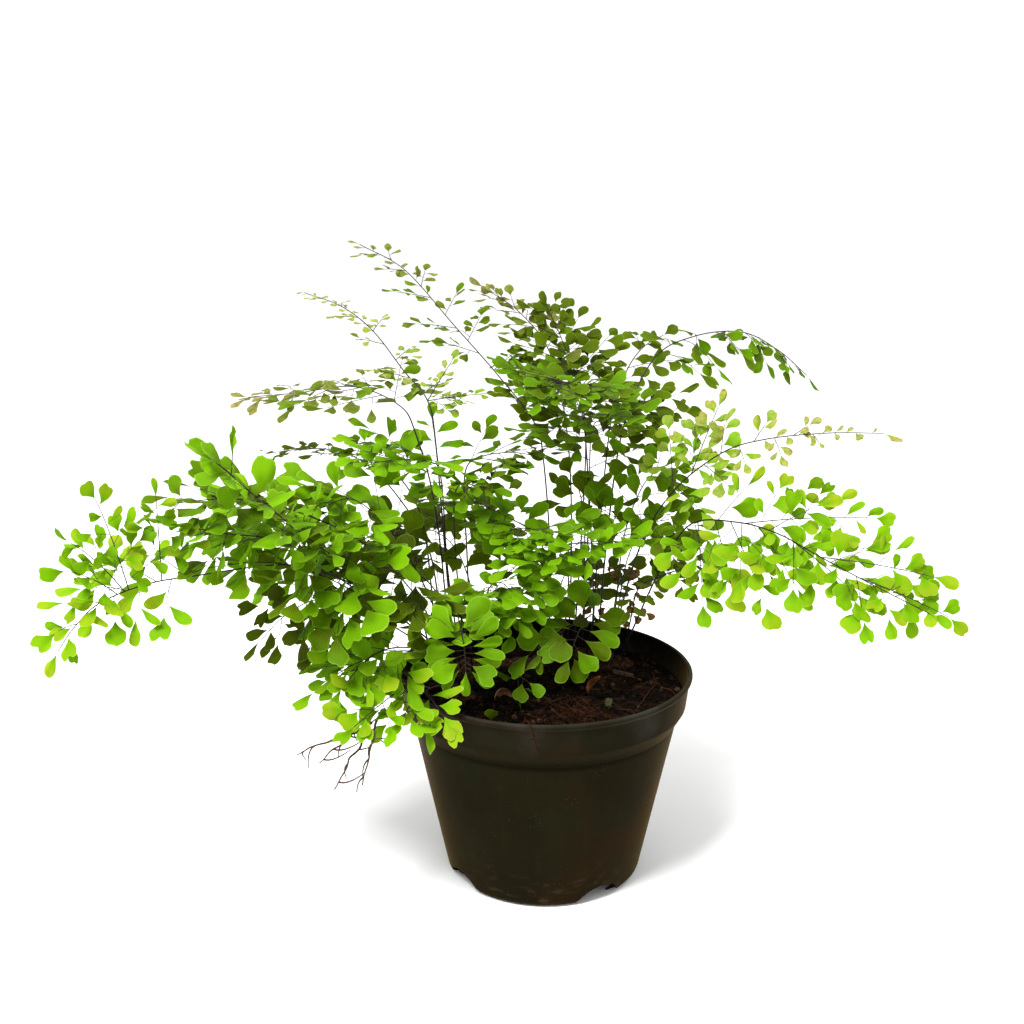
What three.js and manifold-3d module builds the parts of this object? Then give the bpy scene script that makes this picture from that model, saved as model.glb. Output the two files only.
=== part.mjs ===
// A maidenhair fern in a black nursery pot: the pot, its potting mix, the creeping rhizome, each frond,
// the roots that lie on the mix and the dry scraps. Millimetres, +Z up, origin on the floor under the
// middle of the pot.
import * as THREE from "three";
import { mergeVertices } from "three/addons/utils/BufferGeometryUtils.js";
import Module from "manifold-3d";

const wasm = await Module();
wasm.setup();

// Driving dimensions of the pot. Everything else in it follows from these.
const RIM_RADIUS = 75;
const POT_HEIGHT = 108;
const FOOT_RADIUS = 50.5;
const CORNER_RADIUS = 4.5;
const BAND_HEIGHT = 15;
const STEP_HEIGHT = 8;
const STEP_DEPTH = 5;
const WALL = 1.2;
const LIP = 1;
const POT_SEGMENTS = 40;
const NOTCH_COUNT = 4;
const NOTCH_ANGLE = -57;
const NOTCH_RADIUS = 15;
const NOTCH_RISE = 8.5;
const FLOOR_RISE = 9;
const MIDDLE_FOOT_RADIUS = 18;
const MIDDLE_FOOT_TAPER = 2;

// Driving dimensions of what is in the pot.
const SOIL_LEVEL = 97;
const CROWN_LEVEL = 99.6;
const CROWN_DEPTH = 7;
const CROWN_SIDES = 8;
const GAP = 0.3;
const CLEARANCE = 0.4;

// Driving dimensions of the fronds.
const STEM_RADIUS = 0.65;
const STEM_SIDES = 5;
const STEM_STEP = 22;
const TWIG_RADIUS = 0.5;
const LEAF_THICKNESS = 0.6;
const SPRAY_SHARE = 0.55;
const ROOT_RADIUS = 0.6;

// How much shorter and narrower a spray may be made to fit between its neighbours.
const SIZES = [
  [1, 1],
  [1, 0.7],
  [0.8, 0.8],
  [0.8, 0.5],
  [0.6, 0.6],
  [0.45, 0.45],
];

// Knobs of the rhizome, as [x, y, radius]: it creeps from the front left of the pot round to the right.
const RHIZOME = [
  [-40, -13, 7],
  [-47, -5, 7],
  [-55, 4, 7],
  [-56, 14, 8],
  [-54, 26, 8],
  [-45, 31, 8],
  [-43, 17, 8],
  [-36, 32, 7],
  [-32, 23, 6],
  [-37, 10, 6],
  [-24, 33, 8],
  [-11, 32, 8],
  [0, 38, 7],
  [11, 43, 8],
  [22, 44, 9],
  [32, 42, 9],
  [40, 32, 9],
  [32, 27, 6],
];

// The fronds, from hand-chosen points. stem runs from the foot to the tip; blade is the index of the point
// where the side branches begin; span is the length of the lowest branch; lift is how much longer a branch
// that rises is; faces is the way the upper side looks; tips are extra branches, each as [share of the
// blade, x, y, z of its end]; a frond with leaflet 0 has lost its leaflets.
const FRONDS = [
  { name: "frond_right_1", tone: "sunlit", blade: 3, span: 26, branches: 8, leaflet: 13, droop: 0.08,
    taper: 0.1, faces: [0.1, -0.85, 0.5], fill: 2.5, lift: -0.2,
    stem: [[42, 34, 100], [48, 28, 120], [59, 10, 157], [70, -12, 186], [87, -40, 195], [103, -60, 195],
      [119, -77, 189], [138, -90, 181], [160, -103, 172]],
    tips: [[0.3, 143, -70, 205], [0.15, 84, -56, 168], [0.05, 72, -50, 159], [0.23, 98, -66, 163],
      [0.36, 110, -72, 174], [0.5, 132, -88, 176], [0.62, 162, -95, 186], [0.76, 168, -105, 171]] },
  { name: "frond_right_2", tone: "gold", blade: 3, span: 27, branches: 11, leaflet: 11, droop: 0.05,
    taper: 0.65, faces: [-0.2, -0.7, 0.7], fill: 0.5, lift: 0,
    stem: [[36, 36, 100], [40, 31, 124], [50, 20, 168], [64, 8, 198], [84, -10, 221], [102, -25, 231],
      [126, -45, 238], [147, -60, 241]],
    tips: [[0, 62, 18, 226], [0.12, 84, 6, 240]] },
  { name: "frond_right_3", tone: "mid", blade: 3, span: 24, branches: 11, leaflet: 15, droop: 0.55,
    taper: 0.35, faces: [0.15, -0.2, 1], fill: 1, lift: -0.2,
    stem: [[30, 46, 100], [33, 44, 152], [42, 62, 216], [60, 85, 252], [84, 100, 263], [112, 110, 264],
      [134, 117, 253], [152, 122, 238]],
    tips: [] },
  { name: "frond_right_4", tone: "dark", blade: 2, span: 24, branches: 7, leaflet: 10, droop: 0.2,
    taper: 0.22, faces: [0, -0.4, 0.9], fill: 1, lift: 0,
    stem: [[42, 28, 100], [45, 20, 125], [48, 11, 146], [57, 1, 155], [68, -1, 160], [78, -4, 163]],
    tips: [] },
  { name: "frond_right_5", tone: "mid", blade: 2, span: 36, branches: 9, leaflet: 15, droop: 0.1,
    taper: 0.22, faces: [0.1, -0.75, 0.65], fill: 1, lift: 0,
    stem: [[33, 38, 100], [38, 37, 122], [42, 38, 164], [50, 38, 190], [58, 34, 202], [66, 28, 205]],
    tips: [] },
  { name: "frond_right_6", tone: "mid", blade: 2, span: 34, branches: 6, leaflet: 14, droop: 0.1,
    taper: 0.22, faces: [0.1, -0.7, 0.7], fill: 1, lift: 0,
    stem: [[38, 31, 100], [39, 28, 125], [43, 24, 157], [51, 16, 177], [62, 6, 184]],
    tips: [] },
  { name: "frond_right_7", tone: "deep", blade: 2, span: 18, branches: 4, leaflet: 13, droop: 0.1,
    taper: 0.22, faces: [0, -0.6, 0.8], fill: 1, lift: 0,
    stem: [[21, 44, 100], [22, 45, 130], [22, 47, 170], [19, 48, 188], [15, 50, 196]],
    tips: [] },
  { name: "frond_top_1", tone: "olive", blade: 3, span: 36, branches: 16, leaflet: 12, droop: 0.08,
    taper: 0.3, faces: [0, -0.25, 0.95], fill: 1.3, lift: -0.6,
    stem: [[13, 44, 100], [15, 46, 130], [15, 60, 190], [11, 75, 230], [3, 88, 258], [-13, 98, 277],
      [-32, 105, 289]],
    tips: [] },
  { name: "frond_top_2", tone: "deep", blade: 2, span: 50, branches: 17, leaflet: 13, droop: 0.05,
    taper: 0.22, faces: [0, -0.45, 0.9], fill: 1, lift: 0,
    stem: [[17, 47, 100], [20, 50, 150], [23, 65, 212], [19, 80, 240], [10, 92, 264], [3, 100, 278]],
    tips: [] },
  { name: "frond_top_3", tone: "mid", blade: 2, span: 54, branches: 17, leaflet: 13, droop: 0.05,
    taper: 0.22, faces: [0, -0.2, 1], fill: 1, lift: 0,
    stem: [[24, 40, 100], [27, 41, 130], [22, 44, 214], [17, 34, 240], [10, 12, 252], [5, -12, 250]],
    tips: [] },
  { name: "frond_top_4", tone: "dark", blade: 2, span: 34, branches: 10, leaflet: 12, droop: 0.1,
    taper: 0.22, faces: [0, -0.45, 0.9], fill: 1, lift: 0,
    stem: [[22, 49, 100], [24, 53, 150], [25, 60, 196], [26, 70, 212], [29, 82, 218], [35, 95, 217]],
    tips: [] },
  { name: "frond_top_5", tone: "deep", blade: 2, span: 42, branches: 4, leaflet: 12, droop: 0.1,
    taper: 0.22, faces: [0, -0.6, 0.8], fill: 1, lift: 0,
    stem: [[27, 48, 100], [30, 52, 160], [37, 72, 222], [46, 92, 244], [56, 104, 256], [68, 112, 262]],
    tips: [] },
  { name: "frond_left_1", tone: "gold", blade: 3, span: 22, branches: 8, leaflet: 7, droop: 0.05,
    taper: 0.3, faces: [0, -0.12, 1], fill: 1, lift: 0,
    stem: [[-47, 27, 100], [-51, 25, 160], [-55, 23, 219], [-59, 27, 240], [-72, 42, 253], [-89, 60, 271],
      [-107, 76, 282], [-128, 88, 288]],
    tips: [[0, -47, 32, 259], [0, -28, 32, 243]] },
  { name: "frond_left_2", tone: "olive", blade: 4, span: 30, branches: 10, leaflet: 10, droop: 0.05,
    taper: 0.22, faces: [0, -0.12, 1], fill: 1, lift: 0,
    stem: [[3, 40, 100], [4, 43, 150], [0, 47, 205], [-5, 54, 224], [-24, 71, 246], [-48, 92, 270],
      [-76, 114, 298], [-102, 128, 311]],
    tips: [] },
  { name: "frond_left_3", tone: "olive", blade: 3, span: 38, branches: 12, leaflet: 13, droop: 0.05,
    taper: 0.22, faces: [0, -0.16, 1], fill: 1, lift: 0,
    stem: [[-49, 33, 100], [-56, 34, 180], [-66, 37, 221], [-75, 43, 235], [-99, 52, 243],
      [-130, 62, 238], [-158, 72, 234]],
    tips: [] },
  { name: "frond_left_4", tone: "dark", blade: 3, span: 20, branches: 7, leaflet: 10, droop: 0.02,
    taper: 0.22, faces: [0, 0, 1], fill: 1, lift: 0,
    stem: [[-53, 30, 100], [-59, 34, 156], [-76, 42, 186], [-97, 52, 204], [-120, 62, 208],
      [-148, 74, 203]],
    tips: [] },
  { name: "frond_left_5", tone: "mid", blade: 3, span: 26, branches: 6, leaflet: 12, droop: 0.05,
    taper: 0.22, faces: [0, -0.1, 1], fill: 1, lift: 0,
    stem: [[-56, 27, 100], [-61, 30, 165], [-68, 35, 188], [-78, 41, 200], [-89, 46, 208],
      [-103, 50, 210]],
    tips: [] },
  { name: "frond_left_6", tone: "sunlit", blade: 5, span: 23, branches: 10, leaflet: 14, droop: 0.25,
    taper: 0.22, faces: [0.1, -0.6, 0.8], fill: 1.4, lift: 0.7,
    stem: [[-57, 10, 100], [-62, 8, 118], [-77, -4, 141], [-96, -19, 159], [-122, -36, 173],
      [-161, -60, 175], [-179, -72, 175], [-195, -89, 172], [-204, -98, 164], [-210, -104, 155]],
    tips: [[0.42, -192, -93, 219], [0.2, -170, -80, 216], [0.5, -204, -101, 190],
      [0.45, -203, -98, 202]] },
  { name: "frond_left_7", tone: "bright", blade: 2, span: 56, branches: 9, leaflet: 20, droop: 0.12,
    taper: 0.22, faces: [-0.15, -0.5, 0.85], fill: 1, lift: 0,
    stem: [[-53, 16, 100], [-60, 12, 126], [-90, -14, 160], [-113, -46, 191], [-128, -70, 214],
      [-139, -86, 231]],
    tips: [[0.9, -145, -90, 237], [0.95, -134, -88, 239]] },
  { name: "frond_left_8", tone: "mid", blade: 2, span: 48, branches: 14, leaflet: 18, droop: 0.1,
    taper: 0.22, faces: [-0.1, -0.3, 0.95], fill: 1, lift: 0,
    stem: [[-54, 22, 100], [-62, 18, 133], [-88, 1, 171], [-115, -23, 194], [-143, -44, 207],
      [-172, -66, 210]],
    tips: [] },
  { name: "frond_left_9", tone: "mid", blade: 2, span: 46, branches: 7, leaflet: 17, droop: 0.12,
    taper: 0.22, faces: [0, -0.35, 0.9], fill: 1, lift: 0.35,
    stem: [[-53, 9, 100], [-60, 3, 122], [-86, -22, 151], [-111, -42, 172], [-131, -58, 181],
      [-152, -70, 182]],
    tips: [] },
  { name: "frond_left_10", tone: "bright", blade: 2, span: 46, branches: 15, leaflet: 18, droop: 0.32,
    taper: 0.22, faces: [-0.6, -0.5, 0.6], fill: 1, lift: 0.1,
    stem: [[-58, 15, 100], [-65, 12, 130], [-94, -8, 152], [-122, -32, 182], [-146, -56, 194],
      [-165, -75, 203]],
    tips: [] },
  { name: "frond_left_11", tone: "bright", blade: 2, span: 48, branches: 9, leaflet: 19, droop: 0.1,
    taper: 0.22, faces: [-0.1, -0.45, 0.9], fill: 1, lift: 0,
    stem: [[-49, 20, 100], [-58, 15, 138], [-74, 9, 172], [-87, 2, 190], [-96, -12, 199],
      [-106, -24, 198]],
    tips: [] },
  { name: "frond_left_12", tone: "dark", blade: 3, span: 32, branches: 7, leaflet: 15, droop: 0.2,
    taper: 0.22, faces: [-0.2, -0.6, 0.7], fill: 1, lift: 0.25,
    stem: [[-55, 4, 100], [-61, -2, 118], [-74, -10, 132], [-95, -23, 148], [-110, -31, 154],
      [-124, -40, 149], [-134, -48, 140]],
    tips: [] },
  { name: "frond_left_13", tone: "bright", blade: 2, span: 30, branches: 7, leaflet: 16, droop: 0.15,
    taper: 0.22, faces: [-0.2, -0.3, 0.95], fill: 1, lift: 0,
    stem: [[-52, -1, 100], [-59, -10, 117], [-70, -23, 125], [-82, -38, 128], [-95, -50, 126],
      [-108, -58, 118]],
    tips: [] },
  { name: "frond_middle_1", tone: "bright", blade: 2, span: 44, branches: 9, leaflet: 14, droop: 0.03,
    taper: 0.22, faces: [0, -0.1, 1], fill: 1, lift: 0,
    stem: [[-44, 31, 100], [-50, 29, 150], [-53, 29, 200], [-59, 25, 209], [-71, 13, 213], [-85, 0, 214]],
    tips: [] },
  { name: "frond_middle_2", tone: "mid", blade: 2, span: 36, branches: 8, leaflet: 14, droop: 0.03,
    taper: 0.22, faces: [0, -0.1, 1], fill: 1, lift: 0,
    stem: [[-38, 33, 100], [-40, 34, 155], [-41, 35, 199], [-33, 35, 209], [-17, 29, 213], [-3, 24, 212]],
    tips: [] },
  { name: "frond_middle_3", tone: "mid", blade: 2, span: 32, branches: 7, leaflet: 13, droop: 0.1,
    taper: 0.22, faces: [0, -0.2, 1], fill: 1, lift: 0,
    stem: [[-41, 26, 100], [-45, 24, 150], [-46, 20, 188], [-42, 11, 201], [-36, 0, 201]],
    tips: [] },
  { name: "frond_middle_4", tone: "bright", blade: 3, span: 46, branches: 11, leaflet: 14, droop: 0.05,
    taper: 0.22, faces: [0, -0.3, 0.95], fill: 1, lift: 0,
    stem: [[-2, 36, 100], [0, 34, 125], [0, 31, 155], [-3, 24, 171], [-10, 14, 177], [-22, 6, 177]],
    tips: [] },
  { name: "frond_middle_5", tone: "bright", blade: 3, span: 44, branches: 8, leaflet: 15, droop: 0.08,
    taper: 0.22, faces: [0, -0.4, 0.9], fill: 1, lift: 0,
    stem: [[10, 39, 100], [13, 35, 132], [13, 30, 158], [12, 18, 167], [17, 4, 172], [27, -8, 175]],
    tips: [] },
  { name: "frond_middle_6", tone: "deep", blade: 2, span: 52, branches: 12, leaflet: 17, droop: 0.1,
    taper: 0.22, faces: [0, -0.4, 0.9], fill: 1, lift: 0,
    stem: [[-43, 16, 100], [-47, 13, 118], [-53, 4, 143], [-62, -4, 157], [-74, -15, 160],
      [-92, -29, 156]],
    tips: [] },
  { name: "frond_middle_7", tone: "bright", blade: 2, span: 52, branches: 10, leaflet: 15, droop: 0.1,
    taper: 0.22, faces: [0, -0.5, 0.85], fill: 1, lift: 0,
    stem: [[-31, 22, 100], [-31, 18, 118], [-29, 7, 145], [-23, -4, 154], [-17, -16, 154]],
    tips: [] },
  { name: "frond_middle_8", tone: "bright", blade: 2, span: 26, branches: 8, leaflet: 14, droop: 0.1,
    taper: 0.22, faces: [0, -0.75, 0.65], fill: 1, lift: 0,
    stem: [[-10, 30, 100], [-13, 25, 116], [-17, 14, 138], [-18, 2, 148], [-19, -10, 149],
      [-20, -20, 142]],
    tips: [] },
  { name: "frond_back_1", tone: "deep", blade: 2, span: 58, branches: 13, leaflet: 14, droop: 0.1,
    taper: 0.22, faces: [0, -0.3, 0.95], fill: 1, lift: 0,
    stem: [[-34, 36, 100], [-37, 43, 130], [-46, 54, 153], [-59, 66, 161], [-75, 76, 160]],
    tips: [] },
  { name: "frond_back_2", tone: "dark", blade: 1, span: 46, branches: 8, leaflet: 14, droop: 0.1,
    taper: 0.22, faces: [0, -0.4, 0.95], fill: 1, lift: 0,
    stem: [[6, 44, 100], [8, 51, 120], [11, 63, 133], [16, 74, 137], [24, 86, 134]],
    tips: [] },
  { name: "frond_back_3", tone: "withered", blade: 1, span: 20, branches: 7, leaflet: 8, droop: 0.2,
    taper: 0.22, faces: [0, -0.4, 0.95], fill: 1, lift: 0,
    stem: [[36, 43, 100], [38, 48, 114], [40, 53, 128], [44, 58, 138], [50, 62, 140]],
    tips: [] },
  { name: "frond_front_1", tone: "sunlit", blade: 2, span: 30, branches: 8, leaflet: 15, droop: 0.08,
    taper: 0.22, faces: [-0.1, -0.7, 0.7], fill: 1, lift: 0,
    stem: [[-41, -12, 100.5], [-48, -22, 110], [-58, -42, 117], [-67, -58, 120], [-77, -72, 117],
      [-87, -84, 112]],
    tips: [] },
  { name: "frond_front_2", tone: "sunlit", blade: 2, span: 28, branches: 7, leaflet: 14, droop: 0.08,
    taper: 0.22, faces: [-0.1, -0.6, 0.8], fill: 1, lift: 0,
    stem: [[-38, -14, 100.5], [-44, -30, 110], [-54, -48, 116], [-62, -60, 115], [-67, -70, 109]],
    tips: [] },
  { name: "frond_front_3", tone: "sunlit", blade: 2, span: 28, branches: 8, leaflet: 16, droop: 0.1,
    taper: 0.22, faces: [-0.1, -0.5, 0.8], fill: 1, lift: 0,
    stem: [[-45, -8, 100.5], [-56, -17, 121], [-69, -34, 131], [-80, -50, 134], [-88, -61, 130],
      [-94, -68, 124]],
    tips: [] },
  { name: "frond_front_4", tone: "bright", blade: 4, span: 4, branches: 16, leaflet: 17, droop: 0.05,
    taper: 0.22, faces: [0, -0.85, 0.5], fill: 0.2, lift: 0,
    stem: [[-37, 10, 100.2], [-38, -4, 122], [-41, -24, 142], [-42, -42, 150], [-40, -51, 145],
      [-38.5, -55, 136], [-38, -57, 129]],
    tips: [] },
  { name: "frond_front_5", tone: "mid", blade: 3, span: 5, branches: 12, leaflet: 18, droop: 0.1,
    taper: 0.22, faces: [0, -0.85, 0.5], fill: 0.2, lift: 0,
    stem: [[32, 27, 100.4], [30, 20, 112], [27, 8, 129], [23, -4, 137], [17, -13, 132], [12, -19, 121]],
    tips: [[0.1, -7, -17, 122]] },
  { name: "frond_front_6", tone: "mid", blade: 1, span: 6, branches: 5, leaflet: 14, droop: 0.1,
    taper: 0.22, faces: [0, -0.7, 0.7], fill: 0.3, lift: 0,
    stem: [[-13, -14, 98], [-14, -19, 106], [-13, -24, 112], [-9, -28, 111]],
    tips: [] },
  { name: "frond_front_7", tone: "withered", blade: 2, span: 0, branches: 0, leaflet: 0, droop: -0.15,
    taper: 0, faces: [0, -0.7, 0.7], fill: 1, lift: 0,
    stem: [[-49, -5, 100.5], [-58, -20, 110], [-68, -44, 112], [-77, -64, 109], [-87, -80, 107]],
    tips: [[0.98, -113, -88, 100], [0.86, -103, -88, 96], [0.72, -97, -86, 82], [0.6, -85, -82, 82]] },
];

// Roots that lie on the potting mix, each from hand-chosen points. The last one hangs over the rim.
const ROOTS = [
  [[-3, -37, 98], [3, -23, 98], [12, -18, 98.5], [17, -27, 98], [23, -36, 98], [31, -39, 98]],
  [[2, -33, 99.8], [8, -42, 98.2], [14, -36, 98.2], [10, -29, 99.8], [16, -24, 101], [22, -27, 98.5]],
  [[41, -42, 98], [46, -28, 98], [52, -12, 98.5], [57, 2, 98], [57, 17, 98]],
  [[59, -3, 98], [64, -8, 98], [66, -16, 98]],
  [[-10, -42, 98], [-11, -56, 100], [-10, -66, 106], [-9, -73, 109.2], [-8, -76.4, 108],
    [-6, -76.4, 102], [-5, -76.2, 95]],
];

// Flat dry scraps on the potting mix, as [name, x, y, turn in degrees, length, width].
const SCRAPS = [
  ["dry_leaf_scrap", -23, -15, 35, 10, 8],
  ["bark_chip_1", 22, -15, 70, 6, 4],
  ["bark_chip_2", 41, 12, -35, 13, 1.6],
  ["bark_chip_3", 31, -27, 80, 7, 3],
];

const TONES = {
  bright: 0x86bf14,
  mid: 0x6aa012,
  deep: 0x4c8410,
  dark: 0x3c5f0c,
  gold: 0xb2c83c,
  olive: 0x7c8a34,
  sunlit: 0x9aba27,
  withered: 0x6b4a2a,
};

const group = new THREE.Group();
const UP = new THREE.Vector3(0, 0, 1);

function vector(p) {
  return new THREE.Vector3(p[0], p[1], p[2]);
}

// A closed geometry as a manifold-3d solid.
function solid(geometry) {
  const bare = geometry.clone();
  bare.deleteAttribute("normal");
  bare.deleteAttribute("uv");
  const merged = mergeVertices(bare, 1e-4);
  const made = new wasm.Manifold(
    new wasm.Mesh({
      numProp: 3,
      vertProperties: merged.attributes.position.array,
      triVerts: new Uint32Array(merged.index.array),
    }),
  );
  return made;
}

// The largest body of a solid: a cut can leave loose crumbs.
function mainBody(made) {
  const bodies = made.decompose();
  bodies.sort((a, b) => b.volume() - a.volume());
  return bodies[0];
}

function boxesMeet(a, b) {
  const p = a.boundingBox();
  const q = b.boundingBox();
  return [0, 1, 2].every((i) => p.min[i] <= q.max[i] && q.min[i] <= p.max[i]);
}

function cutBy(made, cutters) {
  let left = made;
  for (const cutter of cutters) {
    if (!left.isEmpty() && boxesMeet(left, cutter)) {
      left = left.subtract(cutter);
    }
  }
  return left;
}

function joined(solids) {
  return solids.reduce((a, b) => a.add(b));
}

function addMesh(name, made, color, roughness) {
  const { vertProperties, triVerts, numProp } = made.getMesh();
  const geometry = new THREE.BufferGeometry();
  const count = vertProperties.length / numProp;
  const points = new Float32Array(count * 3);
  for (let i = 0; i < count; i++) {
    points.set(vertProperties.subarray(i * numProp, i * numProp + 3), i * 3);
  }
  geometry.setAttribute("position", new THREE.BufferAttribute(points, 3));
  geometry.setIndex(new THREE.BufferAttribute(new Uint32Array(triVerts), 1));
  geometry.computeVertexNormals();
  const material = new THREE.MeshStandardMaterial({ color, roughness, metalness: 0 });
  const mesh = new THREE.Mesh(geometry, material);
  mesh.name = name;
  group.add(mesh);
}

// A body of revolution about Z, from [radius, height] points that start and end on the axis.
function turned(profile, segments = POT_SEGMENTS) {
  const points = profile.map(([r, z]) => new THREE.Vector2(r, z));
  const geometry = new THREE.LatheGeometry(points, segments);
  geometry.rotateX(Math.PI / 2);
  const made = solid(geometry);
  return made.volume() > 0 ? made : solid(flipped(geometry));
}

function flipped(geometry) {
  const turnedOver = geometry.clone();
  const index = turnedOver.index.array;
  for (let i = 0; i < index.length; i += 3) {
    [index[i + 1], index[i + 2]] = [index[i + 2], index[i + 1]];
  }
  return turnedOver;
}

function smooth(points) {
  return new THREE.CatmullRomCurve3(points, false, "catmullrom", 0.5);
}

// A round tube along a curve.
function tube(curve, radius, sides, steps) {
  const section = new THREE.Shape();
  for (let i = 0; i < sides; i++) {
    const angle = (2 * Math.PI * i) / sides;
    section[i ? "lineTo" : "moveTo"](radius * Math.cos(angle), radius * Math.sin(angle));
  }
  section.closePath();
  return solid(new THREE.ExtrudeGeometry(section, { steps, extrudePath: curve, bevelEnabled: false }));
}

function stepsFor(curve, step) {
  return Math.max(2, Math.ceil(curve.getLength() / step));
}

function arc(cx, cy, radius, from, to, count) {
  const points = [];
  for (let i = 0; i <= count; i++) {
    const angle = THREE.MathUtils.degToRad(from + ((to - from) * i) / count);
    points.push([cx + radius * Math.cos(angle), cy + radius * Math.sin(angle)]);
  }
  return points;
}

const bandFoot = POT_HEIGHT - BAND_HEIGHT;
const wallTop = bandFoot - STEP_HEIGHT;
const bandRadius = RIM_RADIUS - LIP - 1.4;
const wallTopRadius = bandRadius - STEP_DEPTH;

// The outside radius of the tapered wall at a height.
function wallRadius(z) {
  return FOOT_RADIUS + ((wallTopRadius - FOOT_RADIUS) * (z - CORNER_RADIUS)) / (wallTop - CORNER_RADIUS);
}

// From the foot in the middle, out under the raised floor, down inside the foot ring and up the outside to
// the rim.
function potOutside() {
  const inner = FOOT_RADIUS - CORNER_RADIUS;
  return [
    [0, 0],
    [MIDDLE_FOOT_RADIUS, 0],
    [MIDDLE_FOOT_RADIUS + MIDDLE_FOOT_TAPER, FLOOR_RISE],
    [wallRadius(FLOOR_RISE) - WALL, FLOOR_RISE],
    ...arc(inner, CORNER_RADIUS, CORNER_RADIUS - WALL, 0, -90, 4),
    [inner - 0.8, WALL],
    [inner - 0.8, 0],
    ...arc(inner, CORNER_RADIUS, CORNER_RADIUS, -90, 0, 4),
    [wallTopRadius, wallTop],
    [wallTopRadius + STEP_DEPTH * 0.35, wallTop + STEP_HEIGHT * 0.35],
    [bandRadius - 0.6, bandFoot - 1.6],
    [bandRadius, bandFoot],
    [RIM_RADIUS - LIP, POT_HEIGHT - 2.4],
    [RIM_RADIUS, POT_HEIGHT - 1.8],
    [RIM_RADIUS, POT_HEIGHT - 0.5],
    [RIM_RADIUS - 0.5, POT_HEIGHT],
  ];
}

// From the rim down the inside, over the raised floor and into the hollow of the middle foot, moved
// inwards by an offset.
function potInside(offset) {
  const t = WALL + offset;
  const floor = FLOOR_RISE + WALL + offset;
  return [
    [RIM_RADIUS - LIP - t, POT_HEIGHT - 0.4],
    [bandRadius - t, bandFoot + 0.3],
    [bandRadius - 0.6 - t, bandFoot - 1.4],
    [wallTopRadius + STEP_DEPTH * 0.35 - t, wallTop + STEP_HEIGHT * 0.35 + 0.4],
    [wallTopRadius - t, wallTop + 0.4],
    [wallRadius(floor + 2) - t, floor + 2],
    [wallRadius(floor) - t - 2, floor],
    [MIDDLE_FOOT_RADIUS + MIDDLE_FOOT_TAPER - t, floor],
    [MIDDLE_FOOT_RADIUS - t, t],
    [0, t],
  ];
}

// Four drainage notches in the bottom edge, each an arch that opens through the wall.
function notches() {
  return Array.from({ length: NOTCH_COUNT }, (_, i) => {
    const cutter = new THREE.CylinderGeometry(NOTCH_RADIUS, NOTCH_RADIUS, 12, 24);
    cutter.rotateZ(Math.PI / 2);
    cutter.translate(FOOT_RADIUS, 0, NOTCH_RISE - NOTCH_RADIUS);
    cutter.rotateZ(THREE.MathUtils.degToRad(NOTCH_ANGLE + (i * 360) / NOTCH_COUNT));
    return solid(cutter);
  });
}

function pot() {
  const shell = turned([...potOutside(), ...potInside(0)]);
  return cutBy(shell, notches());
}

// A knob of the rhizome: a low tapered lump with a flat top that the fronds stand on.
function knob([x, y, radius], growth) {
  const height = CROWN_DEPTH + growth;
  const lump = new THREE.CylinderGeometry(radius * 0.85 + growth, radius + growth, height, CROWN_SIDES);
  lump.rotateX(Math.PI / 2);
  lump.translate(x, y, CROWN_LEVEL + growth - height / 2);
  return solid(lump);
}

function rhizome(growth) {
  return joined(RHIZOME.map((place) => knob(place, growth)));
}

function soil() {
  const profile = potInside(GAP).filter(([r, z]) => r === 0 || z < SOIL_LEVEL);
  const brim = bandRadius - WALL - GAP;
  const top = [[brim, SOIL_LEVEL - 1.5], [brim - 4, SOIL_LEVEL], [0, SOIL_LEVEL]];
  const body = turned([...profile.reverse(), ...top]);
  const recess = rhizome(GAP).translate(0, 0, -GAP / 2);
  return mainBody(body.subtract(recess));
}

// What no leaf may touch: the pot's wall and rim, the potting mix and the rhizome, with room to spare.
function keepOut() {
  const c = CLEARANCE;
  const bowl = turned([
    [0, -c],
    [FOOT_RADIUS + c, -c],
    [wallTopRadius + c, wallTop - c],
    [bandRadius + c, bandFoot - 2 * c],
    [RIM_RADIUS + c, POT_HEIGHT - 3],
    [RIM_RADIUS + c, POT_HEIGHT + c],
    [RIM_RADIUS - LIP - WALL - c, POT_HEIGHT + c],
    [bandRadius - WALL - c, SOIL_LEVEL + c],
    [0, SOIL_LEVEL + c],
  ]);
  return [bowl, rhizome(CLEARANCE)];
}

// A repeatable number from 0 to 1, so that the same frond grows each time.
function chance(seed, i) {
  const s = Math.sin(seed * 12.9898 + i * 78.233) * 43758.5453;
  return s - Math.floor(s);
}

// A flat spray of leaflets from start to end. normal is its upper side.
function spray({ start, end, normal, width }, growth) {
  const along = end.clone().sub(start);
  const length = along.length() + growth;
  along.normalize();
  const across = normal.clone().cross(along).normalize();
  const upper = along.clone().cross(across);
  const half = width / 2 + growth;
  const root = STEM_RADIUS * 0.8 + growth;
  const outline = new THREE.Shape();
  outline.moveTo(0, -root);
  outline.lineTo(length * 0.45, -half);
  outline.lineTo(length, -half * 0.45);
  outline.lineTo(length, half * 0.45);
  outline.lineTo(length * 0.45, half);
  outline.lineTo(0, root);
  outline.closePath();
  const depth = LEAF_THICKNESS + 2 * growth;
  const plate = new THREE.ExtrudeGeometry(outline, { depth, bevelEnabled: false });
  plate.translate(0, 0, -depth / 2);
  plate.applyMatrix4(new THREE.Matrix4().makeBasis(along, across, upper).setPosition(start));
  return solid(plate);
}

// The same spray made shorter and narrower.
function smaller(place, [lengthShare, widthShare]) {
  const end = place.start.clone().lerp(place.end, lengthShare);
  return { ...place, end, width: place.width * widthShare };
}

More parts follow.
